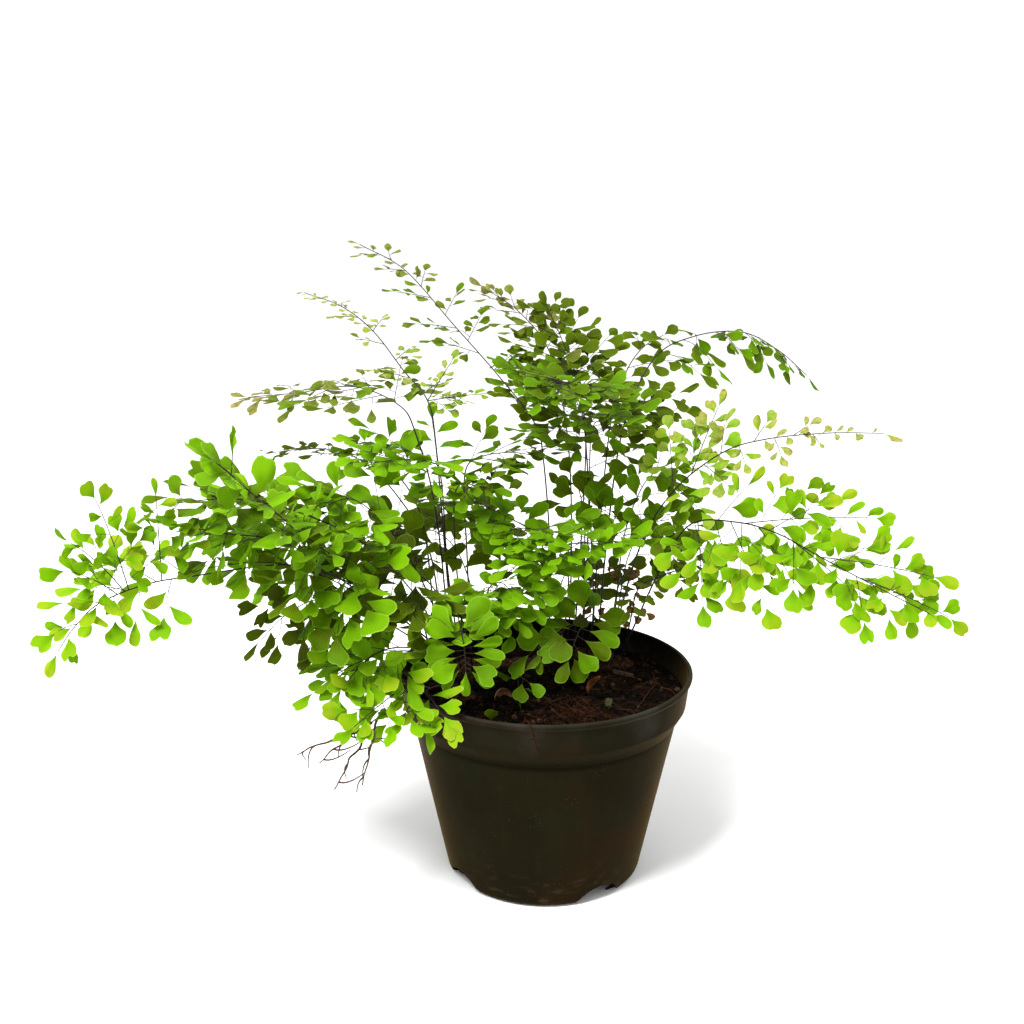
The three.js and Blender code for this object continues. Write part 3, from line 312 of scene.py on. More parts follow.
class Growth:
    """Everything that one frond grows: its wires, each a path with two radii, and its leaflets."""

    def __init__(self, number, frond):
        (self.name, self.tone, blade, self.span, self.count, self.size, self.droop, face, stem, self.tips,
         self.taper, self.fill, self.lift) = frond
        self.seed = number * 3.7 + 1.9
        self.face = Vector(face).normalized()
        self.stem = Path(stem)
        self.start = self.stem.reach[self.stem.marks[blade]]
        self.wires = [(self.stem.samples, *(STEM if self.size else DEAD_STEM))]
        self.leaflets = []
        self.grow_branches()
        self.grow_tips()
        if self.size:
            self.end_leaflet(self.stem, self.size * 0.75, self.seed + 7)

    def on_blade(self, share):
        return self.stem.at(self.start + (self.stem.length - self.start) * share)

    def grow_branches(self):
        """Side branches to the left and right in turn. One that would be too short is a single leaflet."""
        for i in range(self.count):
            x = (i + 0.25 + 0.3 * chance(self.seed, i)) / (self.count + 0.45)
            side = 1 if i % 2 == 0 else -1
            point, tangent = self.on_blade(x)
            normal, across = lay(tangent, self.face)
            length = self.span * (1 - 0.86 * x**self.fill) * (0.85 + 0.3 * chance(self.seed, 20 + i))
            direction = fork(tangent, across * side, 66 - 24 * x + 12 * swing(self.seed, 40 + i))
            direction = (direction + normal * swing(self.seed, 60 + i) * 0.35).normalized()
            length *= 1 + self.lift * direction.z
            if length < self.size * 0.5:
                direction = fork(tangent, across * side, 155 - 120 * x)
                stalk = 0.1 if self.span > self.size else 0.28
                self.leaflet(point, direction, normal, self.size * (0.98 - self.taper * x), self.seed + i, stalk)
                continue
            branch = self.twig(point, direction, length, self.droop)
            self.wires.append((branch.samples, *BRANCH))
            self.clothe(branch, self.size * (1 - self.taper * x), self.seed * 3.1 + i * 5.3)
        if self.span > self.size:
            self.fill_tip()

    def fill_tip(self):
        """The upper half of the blade also has leaflets straight on the stem."""
        count = int((self.stem.length - self.start) / self.size)
        for j in range(count):
            x = 1 - (j + 0.8) * 0.5 / count
            point, tangent = self.on_blade(x)
            normal, across = lay(tangent, self.face)
            side = 1 if j % 2 else -1
            direction = fork(tangent, across * side, 50 + 20 * swing(self.seed, 80 + j))
            direction += normal * swing(self.seed, 90 + j) * 0.4
            size = self.size * (0.98 - (self.taper + 0.1) * x)
            stalk = 0.3 * chance(self.seed, j)
            self.leaflet(point, direction.normalized(), normal, size, self.seed * 1.7 + j, stalk)

    def grow_tips(self):
        for i, (share, x, y, z, *scale) in enumerate(self.tips):
            point, _ = self.on_blade(share)
            end = Vector((x, y, z))
            rise = UP * abs(self.droop) * (end - point).length
            branch = Path([point.lerp(end, u / 7) + rise * (u / 7) * (1 - u / 7) for u in range(8)], 4)
            if self.size:
                self.wires.append((branch.samples, *TIP_BRANCH))
                size = self.size * (scale[0] if scale else 0.95)
                self.clothe(branch, size, self.seed * 3.1 + i * 5.3 + 50)
            else:
                self.shrivel(branch, i)

    def shrivel(self, branch, number):
        """A dead twig: crooked, and with short curled ends of its side twigs."""
        samples = []
        for k, point in enumerate(branch.samples):
            share = k / (len(branch.samples) - 1)
            bend = Vector([noise.noise(point / 8 + Vector((17 * axis, number, 5))) for axis in range(3)])
            samples.append(point + bend * 5.5 * math.sin(math.pi * min(share * 1.4, 1) / 2) * (1.1 - share))
        self.wires.append((samples, *DEAD_TWIG))
        for k in range(4, len(samples) - 1, 5):
            turn = math.tau * chance(self.seed + number, k)
            away = Vector((math.cos(turn), 0.5 * math.sin(turn), -0.3 - 0.5 * chance(self.seed, k)))
            curl = Vector((-away.z, 0.2, away.x))
            reach = 4 + 6 * chance(self.seed + number, k + 50)
            hook = [samples[k] + (away * u + curl * 0.9 * u * u) * reach for u in (0, 0.2, 0.4, 0.6, 0.8, 1)]
            self.wires.append((Path(hook, 3).samples, *DEAD_HOOK))

    def twig(self, point, direction, length, droop):
        """A side branch leaves straight and sags towards its end."""
        steps = [k / 6 for k in range(7)]
        return Path([point + direction * length * u - UP * droop * length * u * u for u in steps], 3)

    def clothe(self, branch, size, seed, forks=True):
        """Leaflets stand alternately along a branch, and the lower ones are on short twigs of their own."""
        gap = size * (0.52 if self.tone == "sunlit" else 0.44)
        total = branch.length
        for j in range(max(int((total - 0.2 * gap) / gap), 0)):
            distance = total - (j + 0.75) * gap
            if distance < gap * 0.4:
                break
            side = 1 if (j + int(chance(seed, 5) * 2)) % 2 == 0 else -1
            point, tangent = branch.at(distance)
            normal, across = lay(tangent, self.face)
            lean, rise, vary = (chance(seed, k + j * 7) for k in (10, 11, 12))
            direction = fork(tangent, across * side, 56 - 8 * distance / total + 16 * (lean - 0.5))
            direction = (direction + normal * (rise - 0.5) * 0.4).normalized()
            left = total - distance
            if forks and left > size * 1.9:
                twig = self.twig(point, direction, min(left * 0.42, size * 1.9) * (0.85 + 0.3 * vary), 0.1)
                self.wires.append((twig.samples[::3], *TWIG))
                self.clothe(twig, size, seed + j * 3.7 + 1.3, False)
            else:
                grown = size * (0.86 + 0.34 * vary) * (0.84 + 0.16 * min(1, left / size / 2))
                self.leaflet(point, direction, normal, grown, seed + j * 2.1)
        self.end_leaflet(branch, size * 0.96, seed + 99)

    def end_leaflet(self, path, size, seed):
        point, tangent = path.at(path.length)
        self.leaflet(point, tangent, lay(tangent, self.face)[0], size, seed)

    def leaflet(self, point, direction, normal, size, seed, stalk=0.1):
        """One leaflet on its hair-thin stalk, turned a little by chance, and a few turned a lot."""
        side = direction.cross(normal)
        direction = (direction - UP * self.droop * 0.8).normalized()
        wild = 2.6 if chance(seed, 8) > 0.8 else 1
        roll, nod = swing(seed, 1) * 0.7 * wild, swing(seed, 2) * 0.5 * wild
        normal = (normal + side * roll + direction * nod).normalized()
        direction = (direction - normal * direction.dot(normal)).normalized()
        base = point + direction * size * stalk
        self.wires.append(([point, base + direction * size * 0.05], *LEAFLET_STALK))
        foot, tip = self.stem.samples[0], self.stem.samples[-1]
        along = min((base - foot).length / (tip - foot).length, 1)
        self.leaflets.append((base, direction, normal, size, seed, along))


# --- Finishes -------------------------------------------------------------------------------------------------------


class Signal:
    """One output of a shader node, used in sums as a number would be."""

    def __init__(self, finish, socket):
        self.finish, self.socket = finish, socket

    def __add__(self, other):
        return self.finish.maths("ADD", self, other)

    def __sub__(self, other):
        return self.finish.maths("SUBTRACT", self, other)

    def __rsub__(self, other):
        return self.finish.maths("SUBTRACT", other, self)

    def __mul__(self, other):
        return self.finish.maths("MULTIPLY", self, other)

    def __pow__(self, other):
        return self.finish.maths("POWER", self, other)

    def __abs__(self):
        return self.finish.maths("ABSOLUTE", self)

    __radd__ = __add__

    def between(self, low, high):
        """0 below low, 1 above high, and smooth in between."""
        inputs = {"Value": self, "From Min": low, "From Max": high}
        return self.finish.node("MapRange", "Result", inputs, interpolation_type="SMOOTHSTEP")


class Finish:
    """A procedural material that is built from nodes. A plain colour is three numbers."""

    def __init__(self, name):
        self.material = bpy.data.materials.new(name)
        self.material.use_nodes = True
        self.tree = self.material.node_tree
        self.tree.nodes.clear()
        self.place = self.node("TexCoord", "Object")

    def node(self, kind, output, inputs=None, **settings):
        """Makes one node, feeds its inputs with signals or plain values, and gives back one of its outputs."""
        made = self.tree.nodes.new("ShaderNode" + kind)
        for key, value in settings.items():
            setattr(made, key, value)
        for key, value in (inputs or {}).items():
            if isinstance(value, Signal):
                self.tree.links.new(value.socket, made.inputs[key])
            else:
                made.inputs[key].default_value = value
        return Signal(self, made.outputs[output])

    def maths(self, operation, *values):
        return self.node("Math", 0, dict(enumerate(values)), operation=operation)

    def blend(self, share, a, b, how="MIX"):
        """Colour a turning into colour b."""
        a, b = (colour if isinstance(colour, Signal) else (*colour, 1) for colour in (a, b))
        return self.node("Mix", 2, {0: share, 6: a, 7: b}, data_type="RGBA", blend_type=how)

    def parts(self, colour):
        """The three numbers of a colour or a vector."""
        first = self.node("SeparateColor", 0, {0: colour})
        return [Signal(self, output) for output in first.socket.node.outputs]

    def growth(self):
        """The first three numbers that paint gave to the points of a mesh."""
        return self.parts(self.node("Attribute", "Color", attribute_name="growth"))

    def grain(self, scale, detail=3, place=None):
        """Cloudy noise, scale in patches per metre."""
        inputs = {"Vector": place or self.place, "Scale": scale, "Detail": detail, "Roughness": 0.55}
        return self.node("TexNoise", "Fac", inputs)

    def cells(self, scale, output="Distance"):
        return self.node("TexVoronoi", output, {"Vector": self.place, "Scale": scale})

    def stretched(self, x, y, z):
        """Object coordinates scaled differently along each axis."""
        return self.node("Mapping", "Vector", {"Vector": self.place, "Scale": (x, y, z)})

    def ramp(self, value, stops):
        made = self.node("ValToRGB", "Color", {"Fac": value})
        bar = made.socket.node.color_ramp.elements
        while len(bar) < len(stops):
            bar.new(0.5)
        for element, (position, colour) in zip(bar, stops):
            element.position = position
            element.color = (*colour, 1)
        return made

    def bump(self, height, strength, distance):
        return self.node("Bump", "Normal", {"Height": height, "Strength": strength, "Distance": distance})

    def surface(self, colour, roughness, gloss, **more):
        """The main shader. Words in the names of its other sockets are joined with an underscore here."""
        inputs = {"Base Color": colour, "Roughness": roughness, "Specular IOR Level": gloss}
        inputs.update({key.replace("_", " "): value for key, value in more.items()})
        return self.node("BsdfPrincipled", "BSDF", inputs)

    def finished(self, shader):
        out = self.tree.nodes.new("ShaderNodeOutputMaterial")
        self.tree.links.new(shader.socket, out.inputs["Surface"])
        return self.material

    def skin(self, colour, roughness, gloss, relief, strength, distance, **more):
        """The whole material where it is one shader with a fine relief."""
        normal = self.bump(relief, strength, distance)
        return self.finished(self.surface(colour, roughness, gloss, Normal=normal, **more))


def shaded(colour, share):
    """A plain colour made darker or lighter."""
    return [c * share for c in colour]


def leaflet_finish(leaf):
    """Thin green blades: fanned veins, patchy tone, pale margins, old ones dry and brown, and light through them.
    Painted shade darkens shaded fronds and the part near the stalk, and the margins carry a painted highlight.
    """
    f = Finish("leaflet_blade")
    tone, vary, wither = f.growth()
    across, along, _ = f.parts(f.node("UVMap", "UV", uv_map="blade"))
    # Painted shade and light: tone places each frond on the greens by how lit it is as well as by age, and the part
    # near the stalk is painted darker as shade.
    here = tone + (vary - 0.5) * 0.25 + (f.grain(120) - 0.5) * 0.2 - (1 - along.between(0.1, 0.7)) * 0.18 - 0.05
    greens = [(0.0, leaf.deepest), (0.32, leaf.deep), (0.55, leaf.mid), (0.77, leaf.bright), (1.0, leaf.pale)]
    fan = (across - 0.5) * 44
    veins, forks = (f.maths("COSINE", turn) * 0.5 + 0.5 for turn in (fan, fan * 2))
    forked = along.between(0.3, 0.7)
    lines = veins**3 * (1 - forked) + forks**3 * forked
    green = f.blend(lines * 0.2, f.ramp(here, greens), leaf.pale)
    # Pale margins: partly the leaflets' own paler edge and partly a painted highlight, stronger on the paler, lit
    # fronds.
    pale_margin_highlight = along.between(0.91, 1.0) * 0.8 + abs(across - 0.5).between(0.44, 0.5) * 0.5
    green = f.blend(pale_margin_highlight * (tone * 0.6 + 0.2), green, leaf.margin)
    straw = f.blend(f.grain(500, 4).between(0.4, 0.65), leaf.straw, shaded(leaf.straw, 0.45))
    tan = wither.between(0.08, 0.42) + (along - 1.1) * wither * 1.3
    green = f.blend(tan * 0.85, green, straw)
    blotch = f.grain(420, 4) + (along - 0.95) * 0.8 + (vary - 0.5) * 0.35 + wither * 0.25
    brown = f.ramp(f.grain(300, 4), [(0.3, (0.055, 0.028, 0.010)), (0.7, (0.21, 0.115, 0.040))])
    dead = f.maths("MAXIMUM", blotch.between(0.80, 0.90) * 0.8, wither.between(0.7, 0.9))
    colour = f.blend(dead, green, brown)
    normal = f.bump(lines * 0.6 + f.grain(900) * 0.4, 0.35, 0.0002)
    front = f.surface(colour, leaf.roughness, leaf.gloss, Normal=normal)
    lit = f.blend(1.0, colour, leaf.glow, "MULTIPLY")
    through = f.node("BsdfTranslucent", "BSDF", {"Color": lit, "Normal": normal})
    return f.finished(f.node("MixShader", 0, {0: leaf.translucency, 1: front, 2: through}))


def wire_finish(stem):
    """Polished near-black stalks, browner where they are thinnest."""
    f = Finish("stalk_wire")
    fine, _, wither = f.growth()
    streak = f.grain(60, 3, f.stretched(6, 6, 1))
    dark = f.blend(fine * 0.8 + (streak - 0.5) * 0.6, stem.colour, stem.thin_colour)
    dry = f.ramp(f.grain(180, 4), [(0.3, (0.020, 0.010, 0.006)), (0.7, (0.070, 0.034, 0.018))])
    colour = f.blend(wither.between(0.4, 0.6), dark, dry)
    return f.skin(colour, 0.34 + streak * 0.2, 0.16, f.grain(1500), 0.3, 0.0001)


def pot_finish(pot):
    """Black moulded plastic: clouded and streaked, stained by the mix, dusty, with a warm sheen at a low angle.
    A painted highlight runs along the lip, and painted shade darkens the slope under the band and the inner wall.
    """
    f = Finish("pot_plastic")
    _, _, height = f.parts(f.place)
    cloud = f.grain(22, 4)
    streaks = f.grain(1, 4, f.stretched(260, 260, 14)).between(0.5, 0.8)
    base = f.blend(cloud.between(0.35, 0.7) * 0.5 + streaks * 0.4, pot.colour, pot.worn_colour)
    base = f.blend(f.grain(16).between(0.50, 0.68) * 0.75, base, pot.stain_colour)
    base = f.blend(f.grain(31).between(0.52, 0.70) * 0.6, base, pot.algae_colour)
    specks = (1 - f.cells(560).between(0.10, 0.17)) * f.grain(70).between(0.52, 0.64)
    dust = f.maths("MAXIMUM", specks * 0.75, f.grain(800).between(0.68, 0.80) * cloud * 0.5)
    foot = 1 - height.between(0.0, 0.03)
    smear = f.grain(130, 5, f.stretched(1, 1, 2.4)).between(0.52, 0.75)
    veil = smear * foot * 0.30 + dust * 0.5
    colour = f.blend(veil * pot.dust, base, pot.dust_colour)
    # The grey bloom on the band is the plastic's own; the thin line along the top of the lip is a painted highlight
    # in the same colour.
    band, lip = height.between(0.088, 0.1), height.between(0.1070, 0.1078)
    bloom = f.grain(45, 4).between(0.42, 0.8) * band * 0.07 + lip * 0.035 + band * 0.010
    colour = f.blend(bloom, colour, pot.bloom_and_highlight_colour)
    # Painted shade: the slope under the band is painted darker, as the shadow below the band.
    ledge_shade = height.between(0.080, 0.083) * (1 - height.between(0.0845, 0.0885))
    colour = f.blend(ledge_shade * 0.65, colour, (0.0016, 0.0015, 0.0008))
    # Painted shade: damp is the nearly black, mottled colour painted on the inner wall above the mix, where shade
    # falls inside the pot.
    flat = f.node("VectorMath", "Vector", {0: f.place, 1: (1, 1, 0)}, operation="MULTIPLY")
    radius = f.node("VectorMath", "Value", {0: flat}, operation="LENGTH")
    inside = height.between(0.09, 0.094) * (1 - (radius - height * 0.115).between(0.0602, 0.0610))
    damp = f.blend(f.grain(300, 4).between(0.5, 0.75), (0.0012, 0.0009, 0.0006), (0.010, 0.007, 0.004))
    colour = f.blend(inside, colour, damp)
    hair = f.grain(1, 2, f.stretched(900, 900, 60)).between(0.66, 0.72)
    relief = hair * -0.4 + f.grain(2600, 2) * 0.5 + f.grain(60, 2) * 0.9
    return f.skin(
        colour, 0.40 + cloud * 0.16 + veil * 0.4, pot.gloss, relief, 0.35, 0.0003,
        Specular_Tint=(1.0, 0.80, 0.45, 1), Sheen_Weight=0.13, Sheen_Roughness=0.3, Sheen_Tint=(1.0, 0.58, 0.12, 1),
    )


def mix_finish(mix):
    """Damp peat with bark in it: nearly black, with browner crumbs and a few pale ones."""
    f = Finish("potting_mix")
    shade, _, _ = f.parts(f.cells(330, "Color"))
    stops = [(0.15, shaded(mix.colour, 0.4)), (0.5, mix.colour), (0.8, mix.bark_colour),
             (1.0, (0.034, 0.017, 0.0085))]
    colour = f.ramp(shade * 0.75 + f.grain(900, 4) * 0.35, stops)
    threads = []
    for scale in (150, 260):
        curl = f.node("TexNoise", "Fac", {"Vector": f.place, "Scale": scale, "Detail": 2, "Distortion": 3})
        threads.append(1 - abs(curl - 0.5).between(0.006, 0.02))
    fibre = f.maths("MAXIMUM", *threads) * f.grain(90, 2).between(0.4, 0.6)
    colour = f.blend(fibre * 0.8, colour, (0.015, 0.0065, 0.0030))
    height = f.cells(330) * 0.5 + f.cells(900) * 0.3 + f.grain(1500, 4) * 0.4 + fibre * 0.5
    return f.skin(colour, 0.85, 0.02, height, 0.9, 0.0012)


def crumb_finish(mix):
    """Single crumbs, each of its own shade from peat through bark to perlite."""
    f = Finish("mix_crumbs")
    shade, vary, _ = f.growth()
    stops = [(0.0, shaded(mix.colour, 0.5)), (0.4, mix.colour), (0.7, mix.bark_colour),
             (0.92, (0.036, 0.018, 0.009)), (1.0, (0.120, 0.085, 0.055))]
    colour = f.ramp(shade + (f.grain(1200) - 0.5) * 0.2, stops)
    return f.skin(colour, 0.6 + vary * 0.3, 0.03, f.grain(2200, 4), 0.8, 0.0006)


def root_finish(mix):
    """Wiry roots: red-brown, paler on the rubbed parts."""
    f = Finish("loose_roots")
    shade, vary, _ = f.growth()
    stops = [(0.2, shaded(mix.root_colour, 0.3)), (0.5, mix.root_colour), (0.8, shaded(mix.root_colour, 2)),
             (1.0, (0.22, 0.13, 0.07))]
    colour = f.ramp(f.grain(260, 4) * 0.7 + shade * 0.5 - 0.1, stops)
    return f.skin(colour, 0.7 + vary * 0.2, 0.02, f.grain(1600, 4), 0.8, 0.0003)


def rhizome_finish():
    """The crown: dark brown with a felt of rusty scales."""
    f = Finish("rhizome_scales")
    felt = f.grain(700, 5, f.stretched(1, 1, 0.5))
    stops = [(0.3, (0.004, 0.002, 0.0013)), (0.6, (0.014, 0.0065, 0.0035)), (0.95, (0.055, 0.026, 0.011))]
    colour = f.ramp(felt * 0.8 + f.cells(520) * 0.6, stops)
    return f.skin(colour, 0.8, 0.03, f.cells(620) * 0.6 + felt * 0.6, 0.9, 0.0010)


def scrap_finish(dark, light):
    """Dry bark and scales: blotched and fibrous."""
    f = Finish("dry_scraps")
    fibre = f.grain(1, 4, f.stretched(900, 200, 900))
    colour = f.blend((fibre * 0.6 + f.grain(240, 4) * 0.5).between(0.3, 0.85), dark, light)
    return f.skin(colour, 0.74, 0.03, fibre + f.grain(900) * 0.5, 0.7, 0.0005)


def floor_finish(stage):
    """Pale paper, very slightly clouded."""
    f = Finish("floor_paper")
    colour = f.blend(f.grain(9, 2).between(0, 1) * 0.02, stage.floor_colour, (1, 1, 1))
    return f.finished(f.surface(colour, 0.85, 0.2))


# --- Making pieces --------------------------------------------------------------------------------------------------


def add(name, data):
    """A new object in the scene."""
    made = bpy.data.objects.new(name, data)
    bpy.context.scene.collection.objects.link(made)
    return made


def finish_piece(name, mesh, material, nodes=(), smooth=40):
    """Makes a mesh a finished piece that rides on the pot and stands for these nodes."""
    mesh.name = name
    mesh.materials.clear()
    mesh.materials.append(material)
    if smooth:
        mesh.shade_smooth()
        mesh.set_sharp_from_angle(angle=math.radians(smooth))
    piece = add(name, mesh)
    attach(piece, "root")
    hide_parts(*nodes)


def to_mesh(bm, name="piece"):
    mesh = bpy.data.meshes.new(name)
    bm.to_mesh(mesh)
    bm.free()
    return mesh


def with_modifiers(mesh, *modifiers):
    """A copy of a mesh with modifiers applied, each as its kind and its settings."""
    carrier = add("carrier", mesh)
    for kind, settings in modifiers:
        modifier = carrier.modifiers.new(kind.lower(), kind)
        for key, value in settings.items():
            setattr(modifier, key, value)
    graph = bpy.context.evaluated_depsgraph_get()
    made = bpy.data.meshes.new_from_object(carrier.evaluated_get(graph))
    bpy.data.objects.remove(carrier)
    return made


def closed(mesh, distance=1e-6):
    """Merges the doubles of a mesh and turns its faces outwards."""
    bm = bmesh.new()
    bm.from_mesh(mesh)
    bmesh.ops.remove_doubles(bm, verts=bm.verts, dist=distance)
    bmesh.ops.recalc_face_normals(bm, faces=bm.faces)
    bm.to_mesh(mesh)
    bm.free()
    return mesh


def paint(mesh, values):
    """Gives the points of a mesh their growth attribute: four numbers each, in the order of the points."""
    layer = mesh.attributes.new("growth", "FLOAT_COLOR", "POINT")
    layer.data.foreach_set("color", values)
    return mesh


def wires_mesh(wires, sides=1):
    """Round wires as one mesh. Each is its points, its radii at both ends in millimetres, and its paint."""
    bm = bmesh.new()
    values = []
    for points, thick, thin, mark in wires:
        curve = bpy.data.curves.new("wire", "CURVE")
        curve.dimensions = "3D"
        curve.bevel_depth = MM
        curve.bevel_resolution = sides
        curve.use_fill_caps = True
        spline = curve.splines.new("POLY")
        spline.points.add(len(points) - 1)
        for k, (point, place) in enumerate(zip(spline.points, points)):
            point.co = (*(place * MM), 1)
            point.radius = thick + (thin - thick) * k / (len(points) - 1)
        carrier = bpy.data.objects.new("wire", curve)
        part = bpy.data.meshes.new_from_object(carrier)
        bpy.data.objects.remove(carrier)
        bpy.data.curves.remove(curve)
        bm.from_mesh(part)
        values.extend(list(mark) * len(part.vertices))
        bpy.data.meshes.remove(part)
    return paint(to_mesh(bm), values)


def leaflet_blade(shape, curl=1.0):
    """A fan-shaped leaflet one unit long, from its stalk at the origin to its margin along +Y, facing +Z."""
    half, fall, lobes, clefts, lean, cup = shape
    bm = bmesh.new()
    bmesh.ops.create_grid(bm, x_segments=12, y_segments=4, size=1)
    layer = bm.loops.layers.uv.new("blade")
    for vert in bm.verts:
        u, v = math.sin(vert.co.x * math.pi / 2), (vert.co.y + 1) / 2
        for loop in vert.link_loops:
            loop[layer].uv = (u / 2 + 0.5, v)
        margin = (1 - fall * abs(u) ** 3.2) * (1 + lean * u)
        place = lobes * math.pi * (u + 1) / 2 + lean
        cleft = 1 - abs(math.sin(place)) ** 0.6 if lobes > 1 and abs(u) < 0.8 else 0
        reach = v**0.85 * margin * (1 - clefts * cleft * v**3)
        angle = math.radians(half) * u * (0.62 + 0.38 * math.sin(v * math.pi / 2))
        x, y = reach * math.sin(angle), reach * math.cos(angle)
        ruffle = 0.035 * math.sin(5 * u + 7 * lean) * v**2
        vert.co = (x, y - 0.05 * curl * v**2, -cup * curl * (1.9 * x * x + 0.55 * v**2) + ruffle)
    bmesh.ops.remove_doubles(bm, verts=bm.verts, dist=1e-4)
    return to_mesh(bm)


def dressed(blades, leaflets, tone, scale):
    """All the leaflets of one frond as one mesh, each a turned and sized copy of one of the blades."""
    bm = bmesh.new()
    values = []
    # pale is the frond's place on the greens: painted shade or light as well as age
    pale, wither = TONES[tone]
    for base, direction, normal, size, seed, along in leaflets:
        blade = blades[int(chance(seed, 4) * len(blades)) % len(blades)].copy()
        length = size * scale * LEAFLET_LENGTH
        width = length * (LEAFLET_WIDTH + LEAFLET_SPREAD * chance(seed, 3))
        across = direction.cross(normal)
        turn = Matrix((across * width, direction * length, normal * length)).transposed()
        blade.transform(Matrix.Scale(MM, 4) @ (Matrix.Translation(base) @ turn.to_4x4()))
        bm.from_mesh(blade)
        dry = wither * (0.4 + 1.5 * along**4) * (0.7 + 0.6 * chance(seed, 7)) if wither < 1 else 1
        values.extend([pale, chance(seed, 6), dry, 1] * len(blade.vertices))
        bpy.data.meshes.remove(blade)
    return paint(to_mesh(bm), values)


def curled(shape, curl, place, tilt, turn, length, thickness):
    """A single dry leaf that has rolled up: its place and length in millimetres, its angles in degrees."""
    mesh = leaflet_blade(shape, curl)
    lean = Euler((math.radians(tilt), 0, math.radians(turn))).to_matrix() @ Matrix.Rotation(math.pi, 3, "Y")
    mesh.transform(Matrix.Translation(Vector(place) * MM) @ lean.to_4x4() @ Matrix.Scale(length * MM, 4))
    smoother = {"levels": 1, "render_levels": 1}
    return with_modifiers(mesh, ("SOLIDIFY", {"thickness": thickness}), ("SUBSURF", smoother))


def spun(profile, steps):
    """A body of revolution from (radius, height) points in millimetres that start and end on the axis."""
    bm = bmesh.new()
    verts = [bm.verts.new((r * MM, 0, z * MM)) for r, z in profile]
    edges = [bm.edges.new(pair) for pair in zip(verts, verts[1:])]
    bmesh.ops.spin(
        bm, geom=verts + edges, cent=(0, 0, 0), axis=(0, 0, 1), angle=math.tau, steps=steps, use_merge=True
    )
    bmesh.ops.remove_doubles(bm, verts=bm.verts, dist=1e-6)
    bmesh.ops.recalc_face_normals(bm, faces=bm.faces)
    return bm


def arc(r, z, radius, start, end, count=5):
    """Points of a round corner of a profile, with its angles in degrees from the outward direction."""
    turns = [math.radians(start + (end - start) * k / count) for k in range(count + 1)]
    return [(r + radius * math.cos(a), z + radius * math.sin(a)) for a in turns]


def mix_level(x, y):
    """The height of the potting mix in millimetres."""
    place = Vector((x, y, 0))
    mound = 1.1 * noise.noise(place / 17) + 0.8 * noise.noise(place / 6 + Vector((9, 0, 0)))
    fine = 0.35 * noise.noise(place / 2.4)
    edge = max(math.hypot(x, y) - 58, 0) / 12
    return MIX_HEIGHT + mound + fine - 0.9 * edge


# --- Settings -------------------------------------------------------------------------------------------------------


def setting(kind, name, description, default, **more):
    """Something that a user can change, of one of Blender's kinds of property."""
    return kind(name=name, description=description, default=default, **more)


def number_setting(*words, **more):
    return setting(bpy.props.FloatProperty, *words, **more)


def share_setting(*words):
    return number_setting(*words, min=0, max=1, subtype="FACTOR")


def colour_setting(*words):
    return setting(bpy.props.FloatVectorProperty, *words, size=3, min=0, max=1, subtype="COLOR")


class FernPotSettings(bpy.types.PropertyGroup):
    """The plastic of the pot."""

    colour: colour_setting("Colour", "Plastic where it is clean", (0.0060, 0.0051, 0.0021))
    worn_colour: colour_setting("Worn colour", "Plastic where it is clouded and streaked", (0.0100, 0.0085, 0.0038))
    stain_colour: colour_setting("Stain colour", "Reddish stains of the mix that ran down", (0.0150, 0.0064, 0.0022))
    algae_colour: colour_setting("Algae colour", "A trace of green on damp plastic", (0.0050, 0.0082, 0.0036))
    dust_colour: colour_setting("Dust colour", "Dried mud and dust on the plastic", (0.17, 0.13, 0.085))
    # The bloom colour also paints the highlight along the lip.
    bloom_and_highlight_colour: colour_setting("Bloom colour", "Grey bloom on the band and the lip", (0.13, 0.145, 0.145))
    dust: share_setting("Dust", "How dusty the pot is", 0.4)
    gloss: share_setting("Gloss", "Strength of its reflections", 0.005)


class FernMixSettings(bpy.types.PropertyGroup):
    """The potting mix and what lies on it."""

    colour: colour_setting("Peat colour", "Damp peat", (0.0014, 0.0010, 0.0005))
    bark_colour: colour_setting("Bark colour", "Crumbs of bark", (0.0042, 0.0022, 0.0011))
    root_colour: colour_setting("Root colour", "Loose roots", (0.019, 0.0072, 0.0032))
    crumbs: setting(bpy.props.IntProperty, "Crumbs", "Number of loose crumbs", 1500, min=0, max=4000)
    rootlets: setting(bpy.props.IntProperty, "Rootlets", "Number of fine rootlets", 460, min=0, max=600)


class FernLeafSettings(bpy.types.PropertyGroup):
    """The leaflets of the fronds."""

    size: number_setting("Leaflet size", "Size beside the usual one", 1.0, min=0.5, max=1.5)
    # The greens stand for age and light both: the darker ones paint shade on lower, back and shaded fronds, the paler
    # ones paint light on lit fronds.
    deepest: colour_setting("Deepest green", "Old leaflets in shade", (0.0260, 0.0432, 0.0008))
    deep: colour_setting("Deep green", "Older leaflets", (0.0481, 0.0821, 0.0010))
    mid: colour_setting("Middle green", "Grown leaflets", (0.061, 0.156, 0.0007))
    bright: colour_setting("Bright green", "Young grown leaflets", (0.112, 0.274, 0.0010))
    pale: colour_setting("Pale green", "The youngest leaflets", (0.235, 0.295, 0.010))
    # The margin colour is also a painted highlight along the leaflets' edges.
    margin: colour_setting("Margin", "The thin pale edge of a leaflet", (0.230, 0.370, 0.040))
    straw: colour_setting("Straw", "Leaflets that dry out", (0.34, 0.26, 0.12))
    glow: colour_setting("Glow", "Tint of the light that comes through", (1.0, 1.0, 0.25))
    translucency: share_setting("Translucency", "Share of the light that goes through", 0.34)
    roughness: share_setting("Roughness", "Dullness of the blades", 0.5)
    gloss: share_setting("Gloss", "Strength of their reflections", 0.035)


